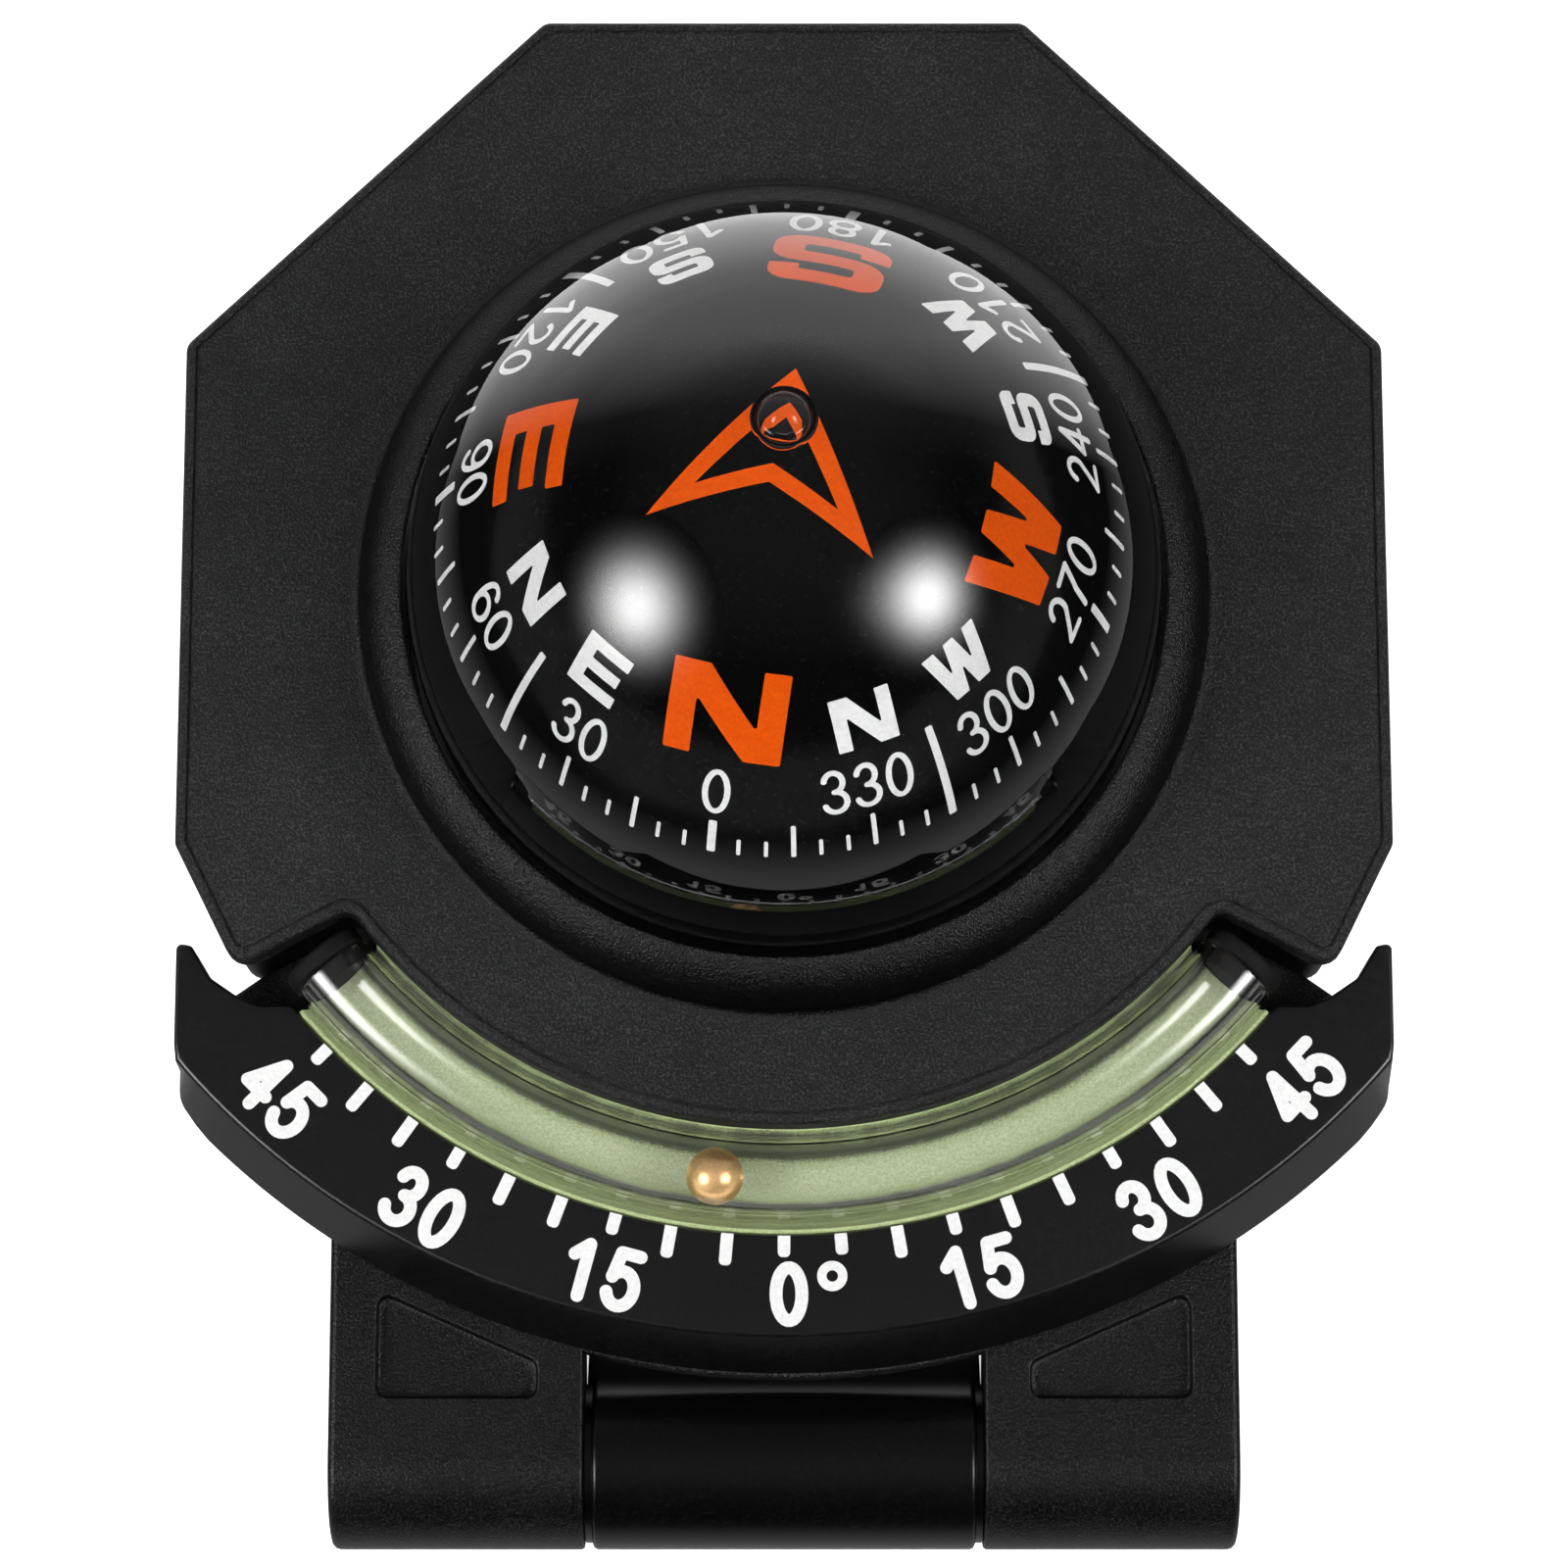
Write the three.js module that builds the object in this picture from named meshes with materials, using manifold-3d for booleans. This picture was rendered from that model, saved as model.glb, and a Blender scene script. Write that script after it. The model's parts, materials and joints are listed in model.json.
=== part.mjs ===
// Windscreen compass: a liquid-filled ball compass and a curved-tube slope meter in one black
// housing, on a hinged foot with an adhesive pad. Millimetres, +Z up, +Y away from the viewer.
// The origin is the middle of the adhesive pad's underside.
// The housing is drawn flat in its own frame (x right, y up the faceplate, z out of it, zero on
// the faceplate's front and on the dome's axis) and is then leaned back about the hinge.

import * as THREE from 'three';
import { mergeVertices } from 'three/addons/utils/BufferGeometryUtils.js';
import Module from 'manifold-3d';

const wasm = await Module();
wasm.setup();

// ---- Driving dimensions, mm ----
const GAP = 0.3;                     // air left between neighbouring pieces
const SNUG_GAP = 0.1;                // air left where one piece is pushed up against another

const RECLINE_DEG = 11.5;            // how far the housing leans back from level
const HINGE_HEIGHT = 6.5;            // hinge axis above the adhesive pad's underside
const HINGE_Y = -38;                 // hinge axis in front of the pad's middle
const HINGE_DROP = 12.6;             // hinge axis behind the faceplate's front
const HINGE_BELOW = 52.4;            // hinge axis below the dome's axis, along the faceplate
const KNUCKLE_RADIUS = 5.3;

const PLATE_HALF_WIDTH = 37.25;
const PLATE_TOP = 37.15;
const PLATE_TOP_HALF = 15.1;
const SIDE_TOP = 16;
const SIDE_BOTTOM = -15.7;
const EAR = { x: 33.4, y: -23.4 };   // lower outer corner of the plate
const SHOULDER = { x: 26.5, y: -19.7 };
const NOTCH_RADIUS = 33;             // the plate's lower edge, an arc about the dome's axis
const PLATE_THICKNESS = 2.2;
const PLATE_BEVEL = 0.5;

const COLLAR_HEIGHT = 3.7;
const COLLAR_BASE_RADIUS = 26.6;
const COLLAR_LIP_RADIUS = 23.7;
const DOME_RADIUS = 23;
const DOME_WALL = 1.8;
const FLANGE_RADIUS = 25;
const FLANGE_TOP = 0.1;
const FLANGE_BOTTOM = -1.3;

const TUBE_PATH_RADIUS = 36;         // slope tube's centre line, an arc about the dome's axis
const TUBE_LEVEL = -3.1;
const TUBE_RADIUS = 2.65;
const TUBE_BORE = 2.15;
const TUBE_END_DEG = 50.3;
const BALL_RADIUS = 1.75;
const BALL_REST_DEG = -6.7;          // the ball rests a little left of zero

const STRIP_INNER = 32.9;
const STRIP_WALL = 0.3;
const STRIP_OUTER = 39.25;
const STRIP_END_DEG = 49.2;

const PANEL_FACE = -3;
const PANEL_BACK = -7;
const PANEL_ARC_CENTRE = 3.7;        // the panel's outer edge is an arc about this height
const PANEL_BASE_RADIUS = 51.2;
const PANEL_FACE_RADIUS = 49.2;      // the rim slopes out from the face to the base
const PANEL_HALF_WIDTH = 37.35;
const PANEL_INNER_RADIUS = STRIP_OUTER + SNUG_GAP;

const SHELL_TOP = -2.5;
const SHELL_FLOOR_TOP = -8;
const SHELL_BOTTOM = -9.5;
const APRON_TOP = PANEL_BACK - GAP;
const APRON_RADIUS = 47.6;
const APRON_END_DEG = 46;
const WING_RADIUS = 43.8;            // the apron's narrower ends, behind the tube's stoppers
const WING_END_DEG = 55;
const ARM_INNER = 12.3;
const ARM_OUTER = 27.9;

const CUP_TOP = -2.9;
const CUP_FLOOR = -14;
const CUP_BOTTOM = -15.5;

const CARD_RADIUS = 16.5;
const CARD_WALL = 0.8;
const CARD_HEADING_DEG = -11.8;      // the card's north points at the viewer and a little left

const PIN_RADIUS = 1.5;
const PIN_BORE = PIN_RADIUS + GAP;
const SCREW_SPOTS = [[-31, 14], [31, 14], [-30, -11.5], [30, -11.5]];

const FOOT_HALF_WIDTH = 23;
const FOOT_FRONT = HINGE_Y + 9;
const FOOT_BACK = HINGE_Y + 67;
const PAD_THICKNESS = 0.7;
const FOOT_BOTTOM = PAD_THICKNESS + GAP;
const FOOT_TOP = 4;
const BARREL_HALF = 11.8;
const NECK_HALF = 11.7;

// ---- Materials ----
const finish = (color, roughness, metalness = 0) =>
  new THREE.MeshStandardMaterial({ color, roughness, metalness });
const texturedBlack = finish(0x1c1c1d, 0.7);
const satinBlack = finish(0x161617, 0.45);
const clearPlastic = finish(0xdfe8ea, 0.08);
const glowGreen = finish(0xb4cf86, 0.5);
const rubberBlack = finish(0x101010, 0.9);
const steel = finish(0xb8babd, 0.3, 1);
const brass = finish(0xc98f5a, 0.3, 1);
const cardBlack = finish(0x0c0c0e, 0.2);
const foamGrey = finish(0x55585a, 0.95);

// ---- Shape helpers ----
const degrees = THREE.MathUtils.degToRad;

// A point on an arc about the dome's axis; zero degrees is straight down the faceplate.
const onArc = (radius, angleDeg, centreY = 0) => ({
  x: radius * Math.sin(degrees(angleDeg)),
  y: centreY - radius * Math.cos(degrees(angleDeg)),
});

const arcPoints = (radius, fromDeg, toDeg, steps, centreY = 0) =>
  Array.from({ length: steps + 1 }, (_, i) =>
    onArc(radius, fromDeg + ((toDeg - fromDeg) * i) / steps, centreY));

// Rounds every corner that has a radius r with a short curve of four steps.
function roundCorners(corners) {
  const points = [];
  corners.forEach((corner, i) => {
    const here = new THREE.Vector2(corner.x, corner.y);
    if (!corner.r) {
      points.push(here);
      return;
    }
    const before = corners[(i + corners.length - 1) % corners.length];
    const after = corners[(i + 1) % corners.length];
    const start = new THREE.Vector2(before.x, before.y).sub(here).setLength(corner.r).add(here);
    const end = new THREE.Vector2(after.x, after.y).sub(here).setLength(corner.r).add(here);
    points.push(...new THREE.QuadraticBezierCurve(start, here, end).getPoints(4));
  });
  return points;
}

// Mirrors the right half of an outline, which starts and ends on the middle line.
const mirrored = (rightHalf) => [
  ...rightHalf,
  ...rightHalf.filter((p) => p.x > 1e-6).reverse().map((p) => ({ ...p, x: -p.x })),
];

// A flat plate of the given outline between two levels.
function slab(points, low, high, bevel = 0) {
  const outline = new THREE.Shape(points.map((p) => new THREE.Vector2(p.x, p.y)));
  const geometry = new THREE.ExtrudeGeometry(outline, {
    depth: high - low - 2 * bevel,
    bevelEnabled: bevel > 0,
    bevelThickness: bevel,
    bevelSize: bevel,
    bevelOffset: -bevel,
    bevelSegments: 1,
  });
  return geometry.translate(0, 0, low + bevel);
}

// Turns a closed profile of [radius, height] pairs about the z axis.
function turned(profile, segments = 36) {
  const points = profile.map(([radius, height]) => new THREE.Vector2(radius, height));
  return new THREE.LatheGeometry(points, segments).rotateX(Math.PI / 2);
}

const rod = (radius, low, high, segments = 14) =>
  turned([[0, low], [radius, low], [radius, high], [0, high]], segments);

const ring = (inner, outer, low, high, segments = 36) =>
  turned([[inner, low], [outer, low], [outer, high], [inner, high], [inner, low]], segments);

// A rod lying along x.
const crossRod = (radius, fromX, toX, segments = 16) =>
  rod(radius, fromX, toX, segments).rotateY(Math.PI / 2);

const hemisphereArc = (radius, centre, steps, fromDeg = 0) =>
  Array.from({ length: steps + 1 }, (_, i) => {
    const latitude = degrees(fromDeg + ((90 - fromDeg) * i) / steps);
    return [i === steps ? 0 : radius * Math.cos(latitude), centre + radius * Math.sin(latitude)];
  });

// ---- Solids: joining and cutting ----
function toSolid(geometry) {
  const bare = geometry.clone();
  bare.deleteAttribute('normal');
  bare.deleteAttribute('uv');
  const merged = mergeVertices(bare, 1e-4);
  const index = Array.from(merged.index.array);
  const kept = [];
  for (let i = 0; i < index.length; i += 3) {
    const [a, b, c] = index.slice(i, i + 3);
    if (a !== b && b !== c && c !== a) kept.push(a, b, c);
  }
  return new wasm.Manifold(new wasm.Mesh({
    numProp: 3,
    vertProperties: new Float32Array(merged.attributes.position.array),
    triVerts: new Uint32Array(kept),
  }));
}

function toGeometry(solid) {
  const mesh = solid.getMesh();
  const geometry = new THREE.BufferGeometry();
  geometry.setAttribute('position', new THREE.BufferAttribute(mesh.vertProperties, 3));
  geometry.setIndex(new THREE.BufferAttribute(mesh.triVerts, 1));
  geometry.computeVertexNormals();
  return geometry;
}

const joined = (...pieces) => pieces.map(toSolid).reduce((sum, piece) => sum.add(piece));

const carved = (solid, ...cutters) =>
  toGeometry(cutters.map(toSolid).reduce((rest, cutter) => rest.subtract(cutter), solid));

function piece(name, geometry, material, parent) {
  const mesh = new THREE.Mesh(geometry, material.clone());
  mesh.name = name;
  parent.add(mesh);
  return mesh;
}

// ---- Outlines ----
function plateOutline(scale = 1) {
  const shoulderDeg = THREE.MathUtils.radToDeg(Math.atan2(SHOULDER.x, -SHOULDER.y));
  const rightHalf = [
    ...arcPoints(NOTCH_RADIUS, 0, shoulderDeg - 2, 10),
    { ...SHOULDER, r: 0.8 },
    { ...EAR, r: 1.3 },
    { x: PLATE_HALF_WIDTH, y: SIDE_BOTTOM, r: 0.8 },
    { x: PLATE_HALF_WIDTH, y: SIDE_TOP, r: 0.8 },
    { x: PLATE_TOP_HALF, y: PLATE_TOP, r: 0.8 },
  ];
  return roundCorners(mirrored(rightHalf)).map((p) => ({ x: p.x * scale, y: p.y * scale }));
}

// A crescent with two upturned horns that reach up outside the plate's ears.
function panelOutline() {
  const outerEndDeg = 44;
  const rightHalf = [
    ...arcPoints(PANEL_BASE_RADIUS, 0, outerEndDeg, 14, PANEL_ARC_CENTRE),
    { x: PANEL_HALF_WIDTH, y: -30.6, r: 2.2 },
    { x: PANEL_HALF_WIDTH, y: -21.3, r: 0.4 },
    { x: 36.4, y: -21.5, r: 0.4 },
    { x: 35.2, y: -23.5 },
    { x: 33.6, y: -24.6 },
    { x: 32.2, y: -25.2 },
    ...arcPoints(PANEL_INNER_RADIUS, STRIP_END_DEG + 1, 0, 14),
  ];
  const left = rightHalf.slice(1, -1).reverse().map((p) => ({ ...p, x: -p.x }));
  return roundCorners([...rightHalf, ...left]);
}

const sectorOutline = (inner, outer, endDeg, steps) => [
  ...arcPoints(outer, -endDeg, endDeg, steps),
  ...arcPoints(inner, endDeg, -endDeg, steps),
];

function roundedRectangle(halfWidth, front, back, radius) {
  return roundCorners([
    { x: -halfWidth, y: front, r: radius },
    { x: halfWidth, y: front, r: radius },
    { x: halfWidth, y: back, r: radius },
    { x: -halfWidth, y: back, r: radius },
  ]);
}

// ---- Housing pieces ----
function frontBezel() {
  const skirtDepth = -6.3;
  const bossBottom = SHELL_FLOOR_TOP + GAP;
  const collar = turned([
    [0, -PLATE_THICKNESS], [COLLAR_BASE_RADIUS + 0.2, -PLATE_THICKNESS],
    [COLLAR_BASE_RADIUS, -PLATE_BEVEL], [COLLAR_BASE_RADIUS, 0], [26.1, 0.5],
    [25.65, 2.15], [24.9, 3.05], [COLLAR_LIP_RADIUS, COLLAR_HEIGHT], [0, COLLAR_HEIGHT],
  ], 40);
  const skirt = rod(FLANGE_RADIUS + GAP + 1.5, skirtDepth, -1, 40);
  const bosses = SCREW_SPOTS.map(([x, y]) => rod(2.6, bossBottom, -1).translate(x, y, 0));
  const body = joined(slab(plateOutline(), -PLATE_THICKNESS, 0, PLATE_BEVEL), collar, skirt, ...bosses);
  const seat = turned([
    [0, -7], [FLANGE_RADIUS + GAP, -7], [FLANGE_RADIUS + GAP, FLANGE_TOP + GAP],
    [DOME_RADIUS + GAP, FLANGE_TOP + GAP], [DOME_RADIUS + GAP, 5], [0, 5],
  ], 40);
  const holes = SCREW_SPOTS.map(([x, y]) => rod(1.5, -9, -3).translate(x, y, 0));
  return carved(body, seat, ...holes);
}

function armSide(fromX, toX) {
  const hinge = { y: -HINGE_BELOW, z: -HINGE_DROP };
  const bar = slab([
    { x: hinge.y, y: APRON_TOP }, { x: hinge.y, y: hinge.z },
    { x: hinge.y + 4.8, y: hinge.z - 2.2 }, { x: -36, y: SHELL_BOTTOM + 0.1 },
    { x: -36, y: APRON_TOP },
  ], fromX, toX);
  bar.rotateX(Math.PI / 2).rotateZ(Math.PI / 2);
  const knuckle = crossRod(KNUCKLE_RADIUS, fromX, toX, 24).translate(0, hinge.y, hinge.z);
  return [bar, knuckle];
}

function armPocket(side) {
  const corners = [
    { x: 25, y: -42.2, r: 0.7 }, { x: 15.1, y: -46.6, r: 0.7 },
    { x: 15.1, y: -48.8, r: 0.7 }, { x: 25, y: -48.8, r: 0.7 },
  ];
  const placed = corners.map((p) => ({ ...p, x: p.x * side }));
  const ordered = side > 0 ? placed : placed.reverse();
  return slab(roundCorners(ordered), APRON_TOP - 0.7, APRON_TOP + 1);
}

// An octagonal tray with an apron under the scale panel and two hinge arms.
function rearShell() {
  const apron = slab(sectorOutline(30, APRON_RADIUS, APRON_END_DEG, 18), SHELL_BOTTOM, APRON_TOP);
  const wings = slab(sectorOutline(30, WING_RADIUS, WING_END_DEG, 22), SHELL_BOTTOM, APRON_TOP);
  const tray = slab(plateOutline(0.986), SHELL_BOTTOM, SHELL_TOP);
  const arms = [...armSide(ARM_INNER, ARM_OUTER), ...armSide(-ARM_OUTER, -ARM_INNER)];
  const cavity = slab(plateOutline(0.942), SHELL_FLOOR_TOP, 0);
  const cupHole = rod(22.6, -11, -5, 40);
  const screwHoles = SCREW_SPOTS.map(([x, y]) => rod(1.5, -11, -7).translate(x, y, 0));
  const pivot = (shape) => shape.translate(0, -HINGE_BELOW, -HINGE_DROP);
  const bore = pivot(crossRod(PIN_BORE, -40, 40));
  const headSeat = pivot(crossRod(3, 25.2, 40));
  const nutSeat = pivot(crossRod(3.4, -40, -25.2));
  return carved(joined(tray, apron, wings, ...arms), cavity, cupHole, ...screwHoles, bore, headSeat,
    nutSeat, armPocket(1), armPocket(-1));
}

function scalePanel() {
  const cone = turned([
    [0, PANEL_BACK - 0.5], [PANEL_BASE_RADIUS + 0.25, PANEL_BACK - 0.5],
    [PANEL_FACE_RADIUS - 0.25, PANEL_FACE + 0.5], [0, PANEL_FACE + 0.5],
  ], 96).translate(0, PANEL_ARC_CENTRE, 0);
  const blank = slab(panelOutline(), PANEL_BACK, PANEL_FACE);
  return toGeometry(toSolid(blank).intersect(toSolid(cone)));
}

// A trough under the tube: a floor between two thin walls, whose edges show beside the tube.
function luminousStrip() {
  const top = TUBE_LEVEL;
  const floor = -6.1;
  const blank = sectorOutline(STRIP_INNER, STRIP_OUTER, STRIP_END_DEG, 24);
  const hollow = sectorOutline(STRIP_INNER + STRIP_WALL, STRIP_OUTER - STRIP_WALL, STRIP_END_DEG + 4, 26);
  return carved(toSolid(slab(blank, PANEL_BACK, top)), slab(hollow, floor, 0));
}

class ArcPath extends THREE.Curve {
  getPoint(t, target = new THREE.Vector3()) {
    const spot = onArc(TUBE_PATH_RADIUS, TUBE_END_DEG * (2 * t - 1));
    return target.set(spot.x, spot.y, TUBE_LEVEL);
  }
}

function slopeTube() {
  const sides = 12;
  const steps = 22;
  const circle = (radius) => Array.from({ length: sides }, (_, i) => {
    const turn = (2 * Math.PI * i) / sides;
    return new THREE.Vector2(radius * Math.cos(turn), radius * Math.sin(turn));
  });
  const section = new THREE.Shape(circle(TUBE_RADIUS));
  section.holes.push(new THREE.Path(circle(TUBE_BORE).reverse()));
  return new THREE.ExtrudeGeometry(section, { steps, extrudePath: new ArcPath(), bevelEnabled: false });
}

// A stopper with a spigot in the tube's bore and a head over its end.
function tubePlug(side) {
  const spigot = 0.85;
  const head = 1.3;
  const shape = turned([
    [0, -spigot], [TUBE_BORE - GAP - 0.1, -spigot], [TUBE_BORE - GAP - 0.1, GAP],
    [TUBE_RADIUS, GAP], [TUBE_RADIUS, head - 0.4], [TUBE_RADIUS - 0.4, head], [0, head],
  ], 16);
  const spot = onArc(TUBE_PATH_RADIUS, side * TUBE_END_DEG);
  shape.rotateY(Math.PI / 2);
  shape.rotateZ(side > 0 ? degrees(TUBE_END_DEG) : Math.PI - degrees(TUBE_END_DEG));
  return shape.translate(spot.x, spot.y, TUBE_LEVEL);
}

function rollBall() {
  const spot = onArc(TUBE_PATH_RADIUS, BALL_REST_DEG);
  return new THREE.SphereGeometry(BALL_RADIUS, 12, 8).translate(spot.x, spot.y, TUBE_LEVEL);
}

function clearDome() {
  const centre = COLLAR_HEIGHT;
  const inner = DOME_RADIUS - DOME_WALL;
  return turned([
    [inner, FLANGE_BOTTOM], [FLANGE_RADIUS, FLANGE_BOTTOM], [FLANGE_RADIUS, FLANGE_TOP],
    [DOME_RADIUS, FLANGE_TOP], ...hemisphereArc(DOME_RADIUS, centre, 8),
    ...hemisphereArc(inner, centre, 7).reverse(), [inner, FLANGE_BOTTOM],
  ], 32);
}

function capsuleCup() {
  const body = toSolid(turned([
    [0, CUP_BOTTOM], [17.5, CUP_BOTTOM], [22.2, -9], [22.2, -4.3], [FLANGE_RADIUS, -4.3],
    [FLANGE_RADIUS, CUP_TOP], [20.6, CUP_TOP], [20.6, -8.8], [16, CUP_FLOOR], [0, CUP_FLOOR],
  ], 32));
  const vents = [0, 1, 2, 3, 4, 5].map((i) =>
    rod(0.8, CUP_BOTTOM - 1, CUP_FLOOR + 1, 8).translate(6.5, 0, 0).rotateZ((i * Math.PI) / 3));
  return carved(body, ...vents, rod(1.3, CUP_BOTTOM - 1, CUP_FLOOR + 1, 10).translate(0, 14.2, 0));
}

const capsuleSeal = () => turned([
  [23.4, -2.1], [23.7, -2.6], [24.3, -2.6], [24.6, -2.1], [24.3, -1.6], [23.7, -1.6],
  [23.4, -2.1],
], 30);

const diaphragm = () => turned([
  [0, -16.4], [6, -16.4], [7, -16.6], [10.3, -16.6], [10.3, -15.8], [7.4, -15.8],
  [6.4, -16], [0, -16],
], 20);

const diaphragmCap = () => turned([
  [0, -18.3], [11.6, -18.3], [12, -17.9], [12, -15.8], [10.6, -15.8], [10.6, -17.2],
  [0, -17.2],
], 24);

const fillerPlug = () => turned([
  [0, -17], [0.5, -17], [0.7, -16.7], [0.9, -17], [1.4, -17], [1.6, -16.8], [1.6, -15.8],
  [1, -15.8], [1, -14.4], [0, -14.4],
], 10).translate(0, 14.2, 0);

const pivotPost = () => turned([
  [0, CUP_FLOOR + GAP], [3, CUP_FLOOR + GAP], [3, CUP_FLOOR + 1.3], [1.6, CUP_FLOOR + 2.6],
  [1.6, COLLAR_HEIGHT - 1.2], [0.8, COLLAR_HEIGHT - 1.2], [0.8, -3], [0, -3],
], 12);

const pivotPin = () => turned([
  [0, -2.7], [0.5, -2.7], [0.5, COLLAR_HEIGHT - 0.6], [0, COLLAR_HEIGHT + 0.3],
], 10);

const caseScrew = ([x, y]) => turned([
  [0, -10.9], [1, -11.3], [2, -11.3], [2.3, -11], [2.3, -9.8], [1.2, -9.8], [1.2, -3.6],
  [0.8, -3.3], [0, -3.3],
], 10).translate(x, y, 0);

// ---- Hinge hardware, drawn about the hinge axis ----
function hingeScrew() {
  const body = joined(crossRod(PIN_RADIUS, -27.2, 26), crossRod(2.6, 25.5, 27.4));
  return carved(body, crossRod(1.3, 26.4, 29, 6));
}

const hingeNut = () => carved(toSolid(crossRod(3, -27.5, -25.5, 6)), crossRod(PIN_BORE, -29, -24));

const frictionWasher = (side) =>
  ring(PIN_BORE, 4, side * 11.75 - 0.3, side * 11.75 + 0.3, 16).rotateY(Math.PI / 2);

// ---- Card pieces, drawn about the capsule's centre with the card level ----
function compassCard() {
  const rimDeg = 3;
  return turned([
    ...hemisphereArc(CARD_RADIUS, 0, 7, rimDeg),
    ...hemisphereArc(CARD_RADIUS - CARD_WALL, 0, 6, rimDeg).reverse(),
    hemisphereArc(CARD_RADIUS, 0, 7, rimDeg)[0],
  ], 30);
}

const cardFloat = () => turned([
  [1.7, 0.6], [14.6, 0.6], [15, 1], [15, 2.4], [4, 2.4], [1.7, 3.6], [1.7, 0.6],
], 24);

const jewelCup = () => turned([
  [0, 0.9], [0.9, 0], [1.2, 0], [1.4, 0.2], [1.4, 2.4], [0, 2.4],
], 12);

const cardMagnet = (side) => new THREE.BoxGeometry(2, 12, 2).translate(side * 5, 0, -0.8);

// ---- Foot, drawn in the object's own frame ----
function mountFoot() {
  const barrel = crossRod(KNUCKLE_RADIUS, -BARREL_HALF, BARREL_HALF, 24)
    .translate(0, HINGE_Y, HINGE_HEIGHT);
  const neck = slab([
    { x: HINGE_Y, y: HINGE_HEIGHT }, { x: HINGE_Y, y: HINGE_HEIGHT - 5.1 },
    { x: FOOT_FRONT + 8, y: FOOT_BOTTOM + 0.4 }, { x: FOOT_FRONT + 8, y: FOOT_TOP - 0.2 },
    { x: FOOT_FRONT + 1.5, y: FOOT_TOP + 0.3 }, { x: HINGE_Y + 5.07, y: HINGE_HEIGHT + 1.5 },
  ], -NECK_HALF, NECK_HALF).rotateX(Math.PI / 2).rotateZ(Math.PI / 2);
  const base = slab(roundedRectangle(FOOT_HALF_WIDTH, FOOT_FRONT, FOOT_BACK, 9),
    FOOT_BOTTOM, FOOT_TOP, 0.6);
  const bore = crossRod(PIN_BORE, -40, 40).translate(0, HINGE_Y, HINGE_HEIGHT);
  const seats = [1, -1].map((side) =>
    crossRod(4.4, Math.min(side * 11.15, side * 14), Math.max(side * 11.15, side * 14))
      .translate(0, HINGE_Y, HINGE_HEIGHT));
  return carved(joined(barrel, neck, base), bore, ...seats);
}

const adhesivePad = () =>
  slab(roundedRectangle(FOOT_HALF_WIDTH - 1, FOOT_FRONT + 1, FOOT_BACK - 1, 8), 0, PAD_THICKNESS);

// ---- Assembly ----
const compass = new THREE.Group();

const hinge = new THREE.Group();
hinge.position.set(0, HINGE_Y, HINGE_HEIGHT);
compass.add(hinge);

const leaning = new THREE.Group();
leaning.rotation.x = degrees(RECLINE_DEG);
hinge.add(leaning);

const housing = new THREE.Group();
housing.position.set(0, HINGE_BELOW, HINGE_DROP);
leaning.add(housing);

const level = new THREE.Group();
level.position.set(0, 0, COLLAR_HEIGHT);
level.rotation.x = -degrees(RECLINE_DEG);
housing.add(level);

const card = new THREE.Group();
card.rotation.z = degrees(CARD_HEADING_DEG);
level.add(card);

piece('mount_foot', mountFoot(), satinBlack, compass);
piece('adhesive_pad', adhesivePad(), foamGrey, compass);
piece('friction_washer_left', frictionWasher(-1), rubberBlack, hinge);
piece('friction_washer_right', frictionWasher(1), rubberBlack, hinge);
piece('hinge_screw', hingeScrew(), steel, leaning);
piece('hinge_nut', hingeNut(), steel, leaning);

piece('front_bezel', frontBezel(), texturedBlack, housing);
piece('rear_shell', rearShell(), texturedBlack, housing);
piece('scale_panel', scalePanel(), satinBlack, housing);
piece('luminous_strip', luminousStrip(), glowGreen, housing);
piece('slope_tube', slopeTube(), clearPlastic, housing);
piece('tube_plug_left', tubePlug(-1), rubberBlack, housing);
piece('tube_plug_right', tubePlug(1), rubberBlack, housing);
piece('roll_ball', rollBall(), brass, housing);
piece('clear_dome', clearDome(), clearPlastic, housing);
piece('capsule_cup', capsuleCup(), satinBlack, housing);
piece('capsule_seal', capsuleSeal(), rubberBlack, housing);
piece('retaining_ring', ring(22.6, FLANGE_RADIUS, -6, -4.6, 32), brass, housing);
piece('diaphragm', diaphragm(), rubberBlack, housing);
piece('diaphragm_cap', diaphragmCap(), satinBlack, housing);
piece('filler_plug', fillerPlug(), brass, housing);
piece('pivot_post', pivotPost(), satinBlack, housing);
piece('pivot_pin', pivotPin(), steel, housing);
SCREW_SPOTS.forEach((spot, i) => piece(`case_screw_${i + 1}`, caseScrew(spot), steel, housing));

piece('compass_card', compassCard(), cardBlack, card);
piece('card_float', cardFloat(), foamGrey, card);
piece('jewel_cup', jewelCup(), brass, card);
piece('card_magnet_left', cardMagnet(-1), steel, card);
piece('card_magnet_right', cardMagnet(1), steel, card);

export default compass;
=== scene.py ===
"""The looks of the windscreen compass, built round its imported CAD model.

Shapes are drawn in millimetres in the housing's own frame: x right, y up the faceplate, z out of
it, zero on the dome's axis at the faceplate's front. Angles on the faceplate are in degrees from
straight down, positive to the right.
"""

import json
import math

import bmesh
import bpy
from mathutils import Matrix, Vector
from mathutils.geometry import delaunay_2d_cdt


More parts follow.
